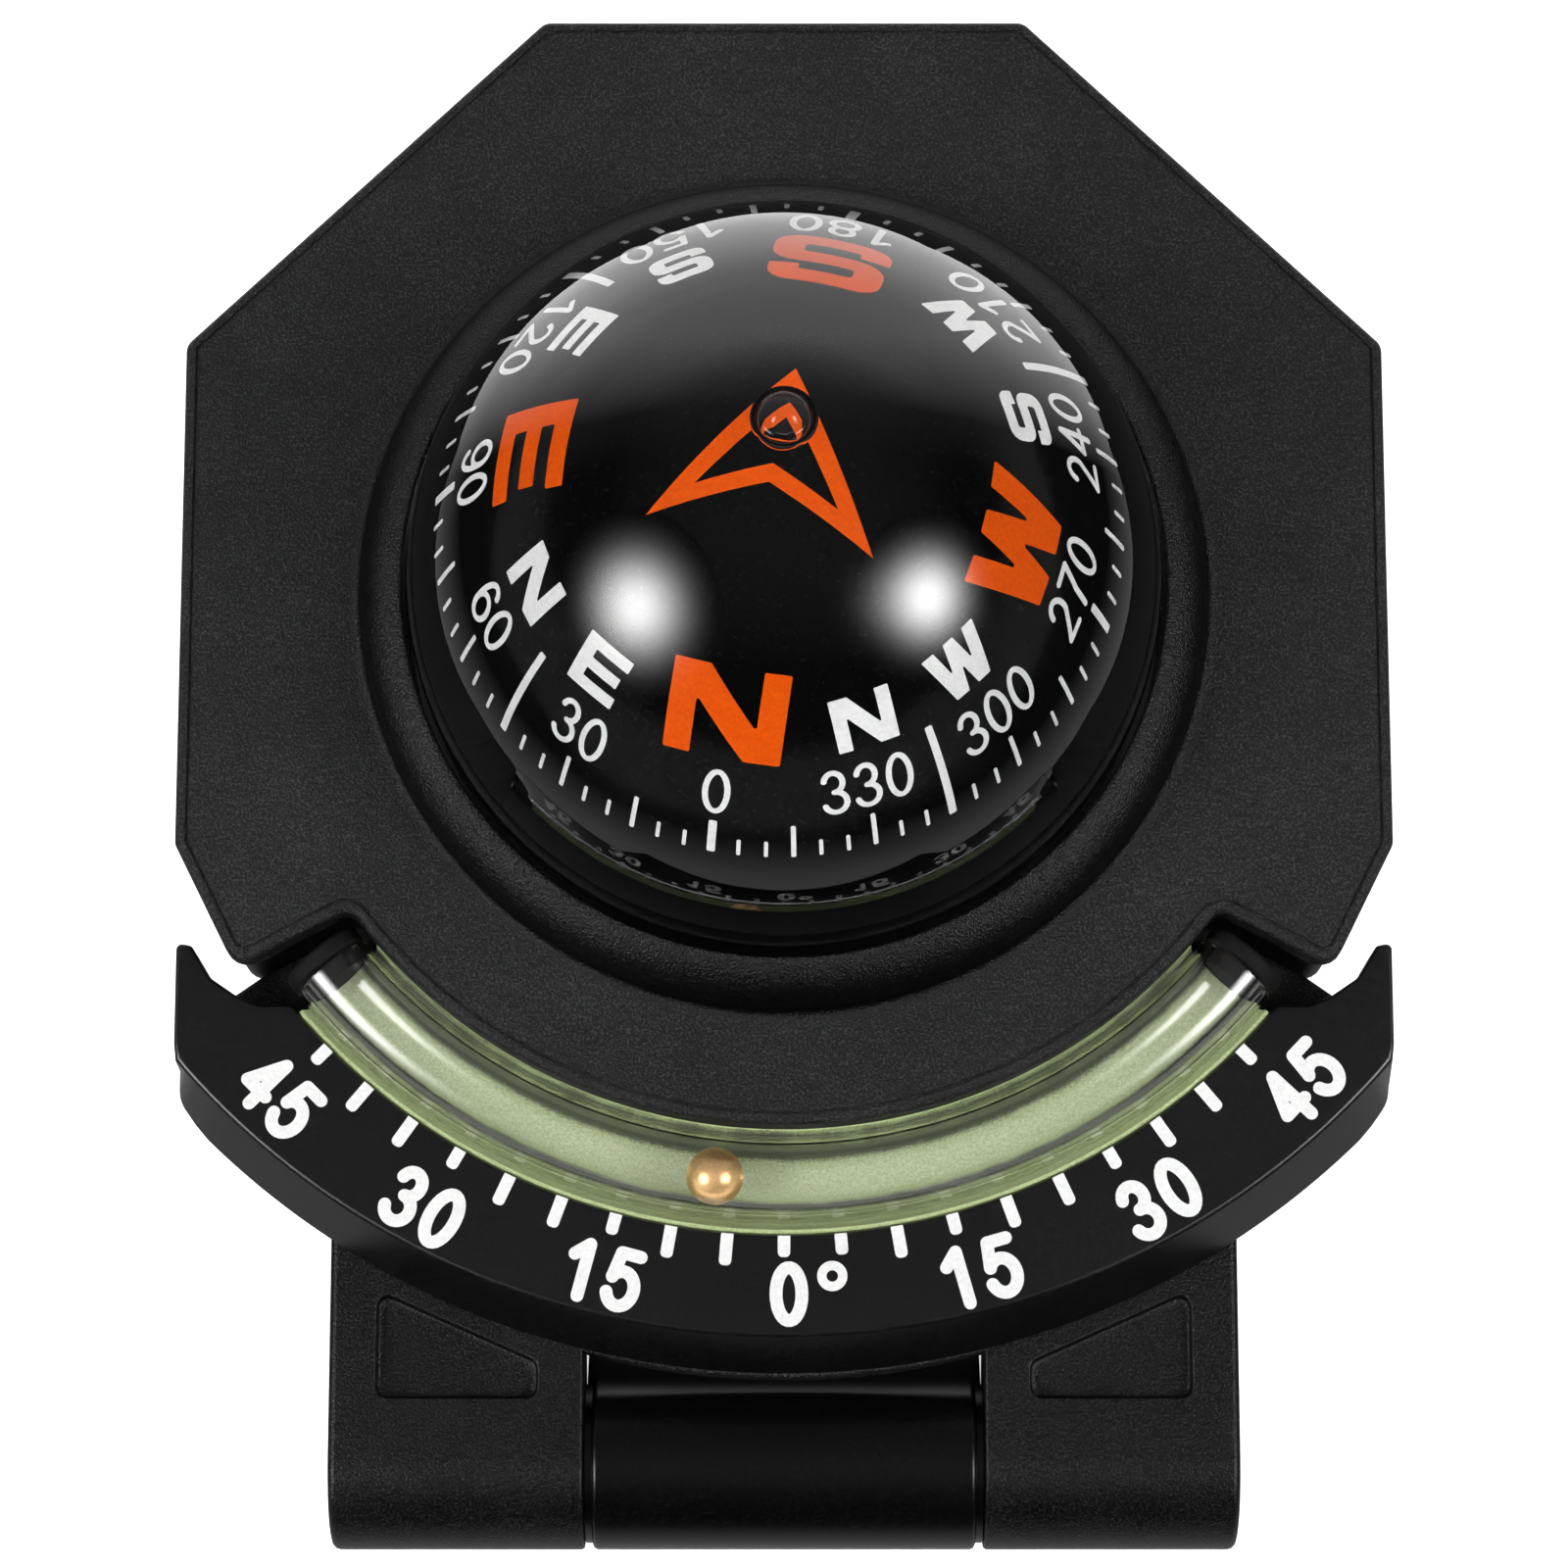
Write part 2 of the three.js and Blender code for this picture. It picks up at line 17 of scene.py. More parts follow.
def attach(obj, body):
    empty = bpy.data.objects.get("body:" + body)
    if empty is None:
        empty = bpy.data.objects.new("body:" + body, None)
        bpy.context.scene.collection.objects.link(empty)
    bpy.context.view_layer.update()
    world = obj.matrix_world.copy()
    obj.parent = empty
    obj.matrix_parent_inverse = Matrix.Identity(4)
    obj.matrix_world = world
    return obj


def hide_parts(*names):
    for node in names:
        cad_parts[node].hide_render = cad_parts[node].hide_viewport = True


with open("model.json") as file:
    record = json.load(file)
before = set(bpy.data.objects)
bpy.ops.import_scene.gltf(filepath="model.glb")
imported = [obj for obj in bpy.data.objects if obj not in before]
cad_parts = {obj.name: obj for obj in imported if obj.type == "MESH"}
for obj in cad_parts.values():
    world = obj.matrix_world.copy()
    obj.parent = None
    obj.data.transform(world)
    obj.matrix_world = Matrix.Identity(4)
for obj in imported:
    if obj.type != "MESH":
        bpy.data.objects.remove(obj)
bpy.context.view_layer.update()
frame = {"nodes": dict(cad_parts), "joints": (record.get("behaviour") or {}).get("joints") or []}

# ---- Frames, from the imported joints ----
MM = 0.001
JOINTS = {joint["name"]: joint for joint in frame["joints"]}
CAPSULE = Vector(JOINTS["card_heading"]["pos_m"])
HINGE = Vector(JOINTS["housing_tilt"]["pos_m"])
RIGHT = Vector((1, 0, 0))
OUT = Vector(JOINTS["ball_roll"]["axis"]).normalized()
UP = OUT.cross(RIGHT)
DOME_CENTRE = 3.7
ORIGIN = CAPSULE - OUT * DOME_CENTRE * MM


def placing(right, up, out, origin):
    turn = Matrix((right, up, out)).transposed().to_4x4()
    return Matrix.Translation(origin) @ turn @ Matrix.Scale(MM, 4)


HOUSING = placing(RIGHT, UP, OUT, ORIGIN)
HOUSING_HINGE = placing(RIGHT, UP, OUT, HINGE)
CARD_OFFSET = Vector((-0.4, -0.3, 0))   # the card sits a little off the capsule's middle
CARD = Matrix.Translation(CAPSULE) @ Matrix.Scale(MM, 4) @ Matrix.Translation(CARD_OFFSET)
BUBBLE = Matrix.Translation(CAPSULE) @ Matrix.Scale(MM, 4)
WORLD = Matrix.Scale(MM, 4)

# ---- Driving dimensions, in mm and degrees ----
PLATE_THICKNESS = 2.2
NOTCH_RADIUS = 33
COLLAR_FOOT_RADIUS = 26.9
DOME_RADIUS = 23
TUBE_PATH_RADIUS = 36
TUBE_LEVEL = -3.1
TUBE_RADIUS = 2.65
TUBE_BORE = 2.15
TUBE_END = 50.3
BALL_RADIUS = 1.75
BALL_REST = -6.7
STRIP_END = 49.2
PANEL_FACE = -3
PANEL_BACK = -7
PANEL_RADIUS = 51.2
PANEL_INNER_RADIUS = 39.35
PANEL_ARC_CENTRE = 3.7
CARD_RADIUS = 16.5
CARD_NORTH = 191.84   # clockwise from +Y, seen from above
PRINT_LOW, PRINT_HIGH = 0.01, 0.05   # the card's paint, over its surface
SCREW_SPOTS = [(-31, 14), (31, 14), (-30, -11.5), (30, -11.5)]
TRAY_BACK = -9.5
ARM_FACE = -7.3   # the arms' and the apron's front
ARM_INNER, ARM_OUTER = 12.3, 27.9
BARREL_RADIUS = 5.3
FILLER_SPOT = (0, 14.2)
HINGE_Y, HINGE_Z = HINGE.y / MM, HINGE.z / MM
HINGE_V, HINGE_W = -52.4, -12.6   # the hinge line on the housing, y and z
INSIDE_ONLY = 1   # the kind of output that keeps only what lies inside the outlines


# ---- Outlines ----
def unit(angle):
    """The direction at an angle in radians, anticlockwise from +x."""
    return Vector((math.cos(angle), math.sin(angle)))


def fillet(corners, closed=True, steps=5):
    """A path through corners (x, y) or (x, y, radius), with an arc where there is a radius."""
    path = []
    count = len(corners)
    for i, corner in enumerate(corners):
        here = Vector(corner[:2])
        radius = corner[2] if len(corner) > 2 else 0
        if not radius or (not closed and i in (0, count - 1)):
            path.append(here)
            continue
        before = (Vector(corners[i - 1][:2]) - here).normalized()
        after = (Vector(corners[(i + 1) % count][:2]) - here).normalized()
        half = before.angle(after) / 2
        centre = here + (before + after).normalized() * (radius / math.sin(half))
        start = here + before * (radius / math.tan(half)) - centre
        end = here + after * (radius / math.tan(half)) - centre
        first = math.atan2(start.y, start.x)
        sweep = math.atan2(start.x * end.y - start.y * end.x, start.dot(end))
        for step in range(steps + 1):
            angle = first + sweep * step / steps
            path.append(centre + unit(angle) * radius)
    return path


def spaced(path, gap):
    """The closed path with extra points on its long edges and without doubled points."""
    points = []
    for i, here in enumerate(path):
        after = path[(i + 1) % len(path)]
        length = (after - here).length
        if length < 1e-4:
            continue
        parts = max(1, math.ceil(length / gap))
        points += [here.lerp(after, k / parts) for k in range(parts)]
    return points


def inset(path, distance):
    """The anticlockwise closed path with every edge moved inwards."""
    moved = []
    for i, here in enumerate(path):
        before = (here - path[i - 1]).normalized()
        after = (path[(i + 1) % len(path)] - here).normalized()
        normal_a = Vector((-before.y, before.x))
        normal_b = Vector((-after.y, after.x))
        moved.append(here + (normal_a + normal_b) * (distance / (1 + normal_a.dot(normal_b))))
    return moved


def on_arc(radius, angle, centre=0.0):
    return Vector((radius * math.sin(math.radians(angle)), centre - radius * math.cos(math.radians(angle))))


def arc(radius, start, end, steps, centre=0.0):
    return [tuple(on_arc(radius, start + (end - start) * i / steps, centre)) for i in range(steps + 1)]


def mirrored(right_half):
    """The whole outline from its right half, which starts on the middle line."""
    left = [(-p[0], *p[1:]) for p in reversed(right_half) if p[0] > 1e-6]
    return right_half + left


def plate_outline(scale=1.0):
    shoulder = (26.5, -19.7)
    shoulder_angle = math.degrees(math.atan2(shoulder[0], -shoulder[1]))
    right_half = arc(NOTCH_RADIUS, 0, shoulder_angle - 1.8, 40) + [
        (*shoulder, 0.95),
        (33.4, -23.4, 1.3),
        (37.25, -15.7, 1.0),
        (37.25, 16, 1.0),
        (15.1, 37.15, 1.0),
    ]
    return [p * scale for p in spaced(fillet(mirrored(right_half)), 0.9)]


def panel_outline():
    right_half = arc(PANEL_RADIUS, 0, 44, 44, PANEL_ARC_CENTRE) + [
        (37.35, -30.6, 2.2),
        (37.35, -21.3, 0.35),
        (36.4, -21.5, 0.35),
        (35.2, -23.5, 0.8),
        (33.6, -24.6, 0.8),
        (32.2, -25.2, 0.3),
    ]
    inner = arc(PANEL_INNER_RADIUS, STRIP_END + 1, 0, 44)
    left = [(-p[0], *p[1:]) for p in reversed(right_half[1:] + inner[:-1])]
    return spaced(fillet(right_half + inner + left), 1.2)


def apron_outline():
    """The apron behind the scale panel, with its two wings behind the tube's stoppers."""
    inner, outer, wing, wing_end = 30, 47.6, 43.8, 55
    right_half = arc(outer, 0, 44, 24) + [(*on_arc(outer, 46), 0.5), (*on_arc(wing, 46.5), 0.5)]
    right_half += arc(wing, 48, 53.5, 4) + [(*on_arc(wing, wing_end), 0.6), (*on_arc(inner, wing_end), 0.6)]
    right_half += arc(inner, 53, 0, 24)
    return spaced(fillet(mirrored(right_half)), 2)


def rectangle(half_width, low, high, radius):
    return fillet([(-half_width, low, radius), (half_width, low, radius),
                   (half_width, high, radius), (-half_width, high, radius)], steps=8)


# ---- Shapes: lists of corners and faces, in mm ----
def loft(rings, loop=False, capped=True):
    """Joins rings of equal length; loop joins the last to the first."""
    count = len(rings[0])
    faces = []
    for i in range(len(rings) if loop else len(rings) - 1):
        a, b = i * count, ((i + 1) % len(rings)) * count
        for j in range(count):
            k = (j + 1) % count
            faces.append((a + j, a + k, b + k, b + j))
    corners = [tuple(point) for ring in rings for point in ring]
    if capped and not loop:
        faces.append(tuple(reversed(range(count))))
        faces.append(tuple(range(len(corners) - count, len(corners))))
    return corners, faces


def inset_rings(outline, steps):
    """Rings for a loft: the outline moved inwards, at a level, for each (distance, level)."""
    return [[(p.x, p.y, level) for p in inset(outline, distance)] for distance, level in steps]


def round_rings(outline, steps):
    """Rings for a loft: circles with points in line with the outline's, for each (radius, level)."""
    return [[(*(p.normalized() * radius), level) for p in outline] for radius, level in steps]


def slab(outline, low, high, edge, low_edge=None):
    """A plate with rounded edges; outline is anticlockwise."""
    low_edge = edge if low_edge is None else low_edge
    steps = 3
    rings = []
    for level, radius, side in ((low, low_edge, 1), (high, edge, -1)):
        for step in range(steps + 1):
            share = step / steps if side > 0 else 1 - step / steps
            angle = math.pi / 2 * share
            height = level + side * radius * (1 - math.cos(angle))
            rings += inset_rings(outline, [(radius * (1 - math.sin(angle)), height)])
    return loft(rings)


def turned(profile, segments):
    """Turns a profile of (radius, height) about z. A profile off the axis is closed into a ring."""
    angles = [2 * math.pi * i / segments for i in range(segments)]
    rings = [[(r * math.cos(a), r * math.sin(a), h) for a in angles] for r, h in profile]
    on_axis = profile[0][0] < 1e-6
    return loft(rings, loop=not on_axis, capped=False)


def swept(section, end, steps):
    """Sweeps a closed section of (radius, height) round the dome's axis, to both sides."""
    rings = []
    for i in range(steps + 1):
        angle = end * (2 * i / steps - 1)
        rings.append([(*on_arc(r, angle), h) for r, h in section])
    return loft(rings)


def moved(shape, matrix):
    corners, faces = shape
    return [tuple(matrix @ Vector(p)) for p in corners], faces


def shifted(shape, x=0.0, y=0.0, z=0.0):
    return moved(shape, Matrix.Translation((x, y, z)))


def along_x(shape):
    """Turns a shape drawn along z to lie along x."""
    return moved(shape, Matrix.Rotation(math.pi / 2, 4, "Y"))


def side_bar(outline, from_x, to_x, edge, low_edge=None):
    """A bar along x whose section is drawn in (y, z)."""
    to_section = Matrix(((0, 0, 1, 0), (1, 0, 0, 0), (0, 1, 0, 0), (0, 0, 0, 1)))
    return moved(slab(outline, from_x, to_x, edge, low_edge=low_edge), to_section)


def together(*shapes):
    corners, faces = [], []
    for more_corners, more_faces in shapes:
        start = len(corners)
        corners += more_corners
        faces += [tuple(start + i for i in face) for face in more_faces]
    return corners, faces


# ---- Pieces ----
def new_object(name, data):
    made = bpy.data.objects.new(name, data)
    bpy.context.scene.collection.objects.link(made)
    return made


def triangles_of(corners, face):
    """Splits a flat face with many corners, which may be hollow-sided, into triangles."""
    points = [Vector(corners[i]) for i in face]
    normal = Vector()
    for a, b in zip(points, points[1:] + points[:1]):
        normal += a.cross(b)
    normal.normalize()
    across = normal.orthogonal().normalized()
    along = normal.cross(across)
    flat = [Vector((p.dot(across), p.dot(along))) for p in points]
    outline = list(range(len(flat)))
    _, _, triangles, sources, _, _ = delaunay_2d_cdt(flat, [], [outline], INSIDE_ONLY, 1e-6)
    return [tuple(face[sources[i][0]] for i in triangle) for triangle in triangles]


def mesh_of(shape):
    corners, faces = shape
    built = bmesh.new()
    made = [built.verts.new(p) for p in corners]
    for face in faces:
        parts = [face] if len(face) < 5 else triangles_of(corners, face)
        for part in parts:
            built.faces.new([made[i] for i in part])
    bmesh.ops.remove_doubles(built, verts=built.verts, dist=1e-4)
    bmesh.ops.recalc_face_normals(built, faces=built.faces)
    mesh = bpy.data.meshes.new("shape")
    built.to_mesh(mesh)
    built.free()
    return mesh


def cut(mesh, cutters):
    """The mesh with each cutter shape taken out of it."""
    base = new_object("base", mesh)
    tools = []
    for shape in cutters:
        tool = new_object("cutter", mesh_of(shape))
        modifier = base.modifiers.new("cut", "BOOLEAN")
        modifier.operation = "DIFFERENCE"
        modifier.solver = "EXACT"
        modifier.object = tool
        tools.append(tool)
    bpy.context.view_layer.update()
    result = bpy.data.meshes.new_from_object(base.evaluated_get(bpy.context.evaluated_depsgraph_get()))
    for extra in (base, *tools):
        bpy.data.objects.remove(extra)
    return result


def piece(name, shape, place, material, body, replaces=(), cutters=()):
    """Puts a shape in its place with its material; edges sharper than the angle below stay sharp."""
    sharp = math.radians(32)
    mesh = mesh_of(shape)
    if cutters:
        mesh = cut(mesh, cutters)
    mesh.transform(place)
    mesh.materials.clear()
    mesh.materials.append(material)
    mesh.shade_smooth()
    mesh.set_sharp_from_angle(angle=sharp)
    made = new_object(name, mesh)
    weighted = made.modifiers.new("normals", "WEIGHTED_NORMAL")
    weighted.keep_sharp = True
    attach(made, body)
    if replaces:
        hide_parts(*replaces)
    return made


# ---- Materials ----
def new_node(tree, kind, operation=None):
    made = tree.nodes.new("ShaderNode" + kind)
    if operation:
        made.operation = operation
    return made


def new_material(name, **sockets):
    made = bpy.data.materials.new(name)
    made.use_nodes = True
    shader = made.node_tree.nodes["Principled BSDF"]
    for socket, value in sockets.items():
        shader.inputs[socket.replace("_", " ")].default_value = value
    return made, made.node_tree, shader


def object_coordinates(tree, place=None):
    """Coordinates that ride with the piece: metres, or millimetres in a given frame."""
    source = new_node(tree, "TexCoord").outputs["Object"]
    if place is None:
        return source
    back = place.inverted()
    mapping = new_node(tree, "Mapping")
    mapping.inputs["Location"].default_value = back.to_translation()
    mapping.inputs["Rotation"].default_value = back.to_euler("XYZ")
    mapping.inputs["Scale"].default_value = back.to_scale()
    tree.links.new(source, mapping.inputs["Vector"])
    return mapping.outputs["Vector"]


def noise(tree, size_mm, detail=2.0, roughness=0.5):
    """A noise whose features are about size_mm across."""
    mapping = new_node(tree, "Mapping")
    mapping.inputs["Scale"].default_value = [1 / (size_mm * MM)] * 3
    texture = new_node(tree, "TexNoise")
    texture.inputs["Scale"].default_value = 1
    texture.inputs["Detail"].default_value = detail
    texture.inputs["Roughness"].default_value = roughness
    tree.links.new(object_coordinates(tree), mapping.inputs["Vector"])
    tree.links.new(mapping.outputs["Vector"], texture.inputs["Vector"])
    return texture.outputs["Fac"]


def ranged(tree, value, low, high, to_low, to_high):
    node = new_node(tree, "MapRange")
    for socket, number in zip(("From Min", "From Max", "To Min", "To Max"), (low, high, to_low, to_high)):
        node.inputs[socket].default_value = number
    tree.links.new(value, node.inputs["Value"])
    return node.outputs["Result"]


def coloured(tree, value, stops):
    ramp = new_node(tree, "ValToRGB")
    elements = ramp.color_ramp.elements
    elements.remove(elements[1])
    elements[0].position = stops[0][0]
    elements[0].color = (*stops[0][1], 1)
    for position, colour in stops[1:]:
        elements.new(position).color = (*colour, 1)
    tree.links.new(value, ramp.inputs["Fac"])
    return ramp.outputs["Color"]


def added(tree, a, b, share=1.0):
    """a + b * share"""
    node = new_node(tree, "Math", "MULTIPLY_ADD")
    node.inputs[1].default_value = share
    tree.links.new(b, node.inputs[0])
    tree.links.new(a, node.inputs[2])
    return node.outputs["Value"]


def bumped(tree, shader, height, depth_mm):
    bump = new_node(tree, "Bump")
    bump.inputs["Strength"].default_value = 1
    bump.inputs["Distance"].default_value = depth_mm * MM
    tree.links.new(height, bump.inputs["Height"])
    tree.links.new(bump.outputs["Normal"], shader.inputs["Normal"])


def from_axis(tree):
    """How far a point of the housing is from the dome's middle line, in millimetres."""
    flat = new_node(tree, "VectorMath", "MULTIPLY")
    flat.inputs[1].default_value = (1, 1, 0)
    tree.links.new(object_coordinates(tree, HOUSING), flat.inputs[0])
    radius = new_node(tree, "VectorMath", "LENGTH")
    tree.links.new(flat.outputs["Vector"], radius.inputs[0])
    return radius.outputs["Value"]


def moulded_black(name, grain_mm, depth_mm, rough, dark, light, specular, collar_smoothing_and_shade=0.0):
    """Moulded black plastic with a fine grain; the collar round the dome can be smoother, and darker as
    painted shade.
    """
    made, tree, shader = new_material(name, Specular_IOR_Level=specular, IOR=1.5)
    grain = noise(tree, grain_mm, 2, 0.5)
    patches = noise(tree, 7, 3, 0.55)
    shade = added(tree, grain, patches, 0.15)
    if collar_smoothing_and_shade:
        # Painted shade: inside the collar's foot the tone is pushed darker, which also makes it smoother.
        collar = ranged(tree, from_axis(tree), COLLAR_FOOT_RADIUS - 0.7, COLLAR_FOOT_RADIUS, 1, 0)
        shade = added(tree, shade, collar, -0.2)
    stops = [(0.5, [dark] * 3), (0.62, [light * 0.3] * 3), (0.74, [light, light, light * 1.05])]
    tree.links.new(coloured(tree, shade, stops), shader.inputs["Base Color"])
    roughness = ranged(tree, shade, 0.4, 0.8, *rough)
    if collar_smoothing_and_shade:
        roughness = added(tree, roughness, collar, -collar_smoothing_and_shade)
    tree.links.new(roughness, shader.inputs["Roughness"])
    bumped(tree, shader, grain, depth_mm)
    return made


def open_where(tree, shader, where):
    """Lets light straight through the material wherever the given value is one."""
    passing = new_node(tree, "BsdfTransparent")
    mix = new_node(tree, "MixShader")
    tree.links.new(where, mix.inputs["Fac"])
    tree.links.new(shader.outputs["BSDF"], mix.inputs[1])
    tree.links.new(passing.outputs["BSDF"], mix.inputs[2])
    tree.links.new(mix.outputs["Shader"], tree.nodes["Material Output"].inputs["Surface"])


def clear(name, ior):
    """Clear plastic, liquid or air, which lets the lamps' light through to what lies inside."""
    made, tree, shader = new_material(name, Base_Color=(1, 1, 1, 1), IOR=ior, Transmission_Weight=1.0)
    haze = noise(tree, 6, 3, 0.6)
    tree.links.new(ranged(tree, haze, 0.35, 0.75, 0.0, 0.02), shader.inputs["Roughness"])
    open_where(tree, shader, new_node(tree, "LightPath").outputs["Is Shadow Ray"])
    return made


def grained(tree, shader, grain, dark, light, rough, depth_mm):
    """Takes the colour, the roughness and a fine relief from one grain."""
    tree.links.new(coloured(tree, grain, [(0.3, dark), (0.7, light)]), shader.inputs["Base Color"])
    tree.links.new(ranged(tree, grain, 0.3, 0.7, *rough), shader.inputs["Roughness"])
    bumped(tree, shader, grain, depth_mm)


def metal(name, dark, light, rough, grain_mm=0.2):
    made, tree, shader = new_material(name, Metallic=1.0)
    grained(tree, shader, noise(tree, grain_mm, 3, 0.6), dark, light, rough, 0.004)
    return made


def printed(name, dark, light):
    """Pad-printed paint, a little uneven."""
    made, tree, shader = new_material(name, Specular_IOR_Level=0.06)
    grained(tree, shader, noise(tree, 0.25, 3, 0.6), dark, light, (0.35, 0.55), 0.006)
    return made


def glow_strip():
    """Pale green luminous plastic, bright in the middle under the tube; the mottled grey and dim bands under
    the tube's sides are painted shade.
    """
    inner_edge, outer_edge = 33.0, 39.6
    made, tree, shader = new_material("glow_strip", Specular_IOR_Level=0.3)
    speckle = noise(tree, 0.16, 4, 0.75)
    drift = noise(tree, 2.2, 2, 0.5)
    wobble = added(tree, from_axis(tree), ranged(tree, drift, 0.3, 0.7, -0.06, 0.06))
    wobble = added(tree, wobble, ranged(tree, speckle, 0.3, 0.7, -0.12, 0.12))
    across = ranged(tree, wobble, inner_edge, outer_edge, 0, 1)
    centre, pale, edge = (0.62, 0.71, 0.44), (0.5, 0.59, 0.34), (0.42, 0.51, 0.25)
    # grey and dim: painted shade under the tube's inner and outer sides
    grey, dim = (0.07, 0.083, 0.053), (0.028, 0.036, 0.02)
    stops = [(0.0, edge), (0.004, edge), (0.02, grey), (0.16, grey), (0.22, pale), (0.31, centre),
             (0.56, centre), (0.64, pale), (0.69, dim), (0.77, dim), (0.82, edge), (1.0, edge)]
    base = coloured(tree, across, stops)
    mottle = new_node(tree, "Mix")
    mottle.data_type = "RGBA"
    mottle.blend_type = "MULTIPLY"
    mottle.inputs["Factor"].default_value = 0.7
    tree.links.new(base, mottle.inputs["A"])
    dapple = coloured(tree, speckle, [(0.35, (0.45, 0.47, 0.42)), (0.65, (1, 1, 1))])
    tree.links.new(dapple, mottle.inputs["B"])
    for socket in ("Base Color", "Emission Color"):
        tree.links.new(mottle.outputs["Result"], shader.inputs[socket])
    shader.inputs["Emission Strength"].default_value = 0.12
    tree.links.new(ranged(tree, speckle, 0.3, 0.7, 0.4, 0.6), shader.inputs["Roughness"])
    bumped(tree, shader, speckle, 0.02)
    return made


def foam():
    made, tree, shader = new_material("foam", Specular_IOR_Level=0.2)
    cells = noise(tree, 0.35, 4, 0.7)
    grained(tree, shader, cells, (0.05, 0.055, 0.06), (0.12, 0.125, 0.13), (0.85, 1.0), 0.08)
    return made


# Name, grain's size and depth, roughness, darkest and lightest base, specular level, collar's smoothing and
# painted shade
TEXTURED = moulded_black("textured_black", 0.14, 0.1, (0.5, 0.56), 0.0003, 0.03, 0.25)
FACEPLATE = moulded_black("faceplate_black", 0.14, 0.1, (0.5, 0.56), 0.0003, 0.03, 0.25, 0.16)
# Painted shade: a darker, a little smoother copy of the textured black for the hinge arms.
ARM_SHADED_BLACK = moulded_black("arm_shaded_black", 0.14, 0.05, (0.36, 0.42), 0.0003, 0.013, 0.24)
SATIN = moulded_black("satin_black", 0.2, 0.004, (0.3, 0.37), 0.001, 0.005, 0.5)
HINGE_BLACK = moulded_black("hinge_black", 0.2, 0.004, (0.28, 0.34), 0.0006, 0.003, 0.3)
# Painted shade: an almost black, hardly reflecting copy of the moulded black for the foot's neck and the
# capsule's cup.
SHADE_BLACK = moulded_black("shade_black", 0.3, 0.004, (0.6, 0.7), 0.0003, 0.0015, 0.05)
RUBBER = moulded_black("black_rubber", 0.12, 0.02, (0.7, 0.85), 0.002, 0.008, 0.2)
CARD_BLACK = moulded_black("card_black", 0.4, 0.0004, (0.14, 0.17), 0.0012, 0.002, 0.05)
DOME_CLEAR = clear("dome_clear", 1.46)
TUBE_CLEAR = clear("tube_clear", 1.49)
BUBBLE_AIR = clear("bubble_air", 1 / 1.46)
STEEL = metal("steel", (0.5, 0.51, 0.53), (0.7, 0.71, 0.73), (0.22, 0.36))
BRASS = metal("brass", (0.62, 0.40, 0.17), (0.80, 0.55, 0.27), (0.2, 0.34))
BALL_METAL = metal("ball_metal", (0.76, 0.44, 0.18), (0.97, 0.66, 0.33), (0.36, 0.48), 0.12)
GLOW = glow_strip()
WHITE_PRINT = printed("white_print", (0.68, 0.685, 0.68), (0.8, 0.8, 0.795))
ORANGE_PRINT = printed("orange_print", (0.57, 0.058, 0.0002), (0.68, 0.086, 0.0004))
FOAM = foam()


# ---- Housing ----
def bezel():
    """The faceplate with its border groove, the collar round the dome and the seat behind it."""
    edge = plate_outline()
    border = [(0.4, -PLATE_THICKNESS), (0.12, -2.12), (0, -1.9), (0, -0.4), (0.03, -0.25), (0.12, -0.12),
              (0.25, -0.03), (0.4, 0), (0.62, 0), (0.66, -0.12), (0.78, -0.12), (0.82, 0)]
    bead_centre, bead_radius = (22.7, 0.47), 3.4
    collar = [(28.5, 0), (COLLAR_FOOT_RADIUS, 0), (26.5, 0.06), (26.25, 0.2), (26.13, 0.4)]
    collar += curved(bead_centre, (bead_radius, bead_radius), 0, 70)
    collar += fillet([
        (23.86, 3.665), (23.3, 3.78, 0.2), (23.3, 0.4), (25.3, 0.4), (25.3, -6.3), (26.8, -6.3),
        (26.8, -PLATE_THICKNESS),
    ], closed=False)[1:]
    rings = inset_rings(edge, border) + round_rings(edge, collar)
    bosses = [shifted(turned([(1.5, -7.7), (2.6, -7.7), (2.6, -2.1), (1.5, -2.1)], 32), x, y)
              for x, y in SCREW_SPOTS]
    return together(loft(rings, loop=True), *bosses)


def tray():
    """The rear shell's octagonal tray with the opening for the capsule's cup."""
    outer, inner = plate_outline(0.986), plate_outline(0.942)
    outside = ((0.6, TRAY_BACK), (0.25, -9.4), (0.06, -9.2), (0, -8.9), (0, -2.6), (0.1, -2.5))
    inside = ((-0.1, -2.5), (0, -2.6), (0, -7.5), (0.15, -7.85), (0.5, -8))
    hole = ((22.8, -8), (22.6, -8.2), (22.6, -9.3), (22.8, TRAY_BACK))
    rings = inset_rings(outer, outside) + inset_rings(inner, inside) + round_rings(outer, hole)
    return loft(rings, loop=True)


def arm_section():
    """The arm's side outline in (y, z): a flat top that rolls over into the hinge knuckle."""
    top, meets_underside, steps = 90, 335.4, 32
    roll = []
    for i in range(steps + 1):
        angle = math.radians(top + (meets_underside - top) * i / steps)
        roll.append(Vector((HINGE_V + BARREL_RADIUS * math.cos(angle),
                            HINGE_W + BARREL_RADIUS * math.sin(angle))))
    return [Vector((-36, -9.4)), Vector((-36, ARM_FACE))] + roll


def pocket(side):
    """A cutter for the arm's shallow pocket, with a rounded rim."""
    corners = [(25, -42.2, 0.7), (15.1, -46.6, 0.7), (15.1, -48.8, 0.7), (25, -48.8, 0.7)]
    clockwise = [(x * side, y, r) for x, y, r in corners[::-side]]
    outline = spaced(fillet(clockwise), 1)[::-1]
    steps = ((0.35, -0.7), (0.12, -0.62), (0, -0.4), (0, -0.15), (-0.05, -0.05), (-0.15, 0), (-0.15, 0.6))
    return loft(inset_rings(outline, [(distance, ARM_FACE + depth) for distance, depth in steps]))


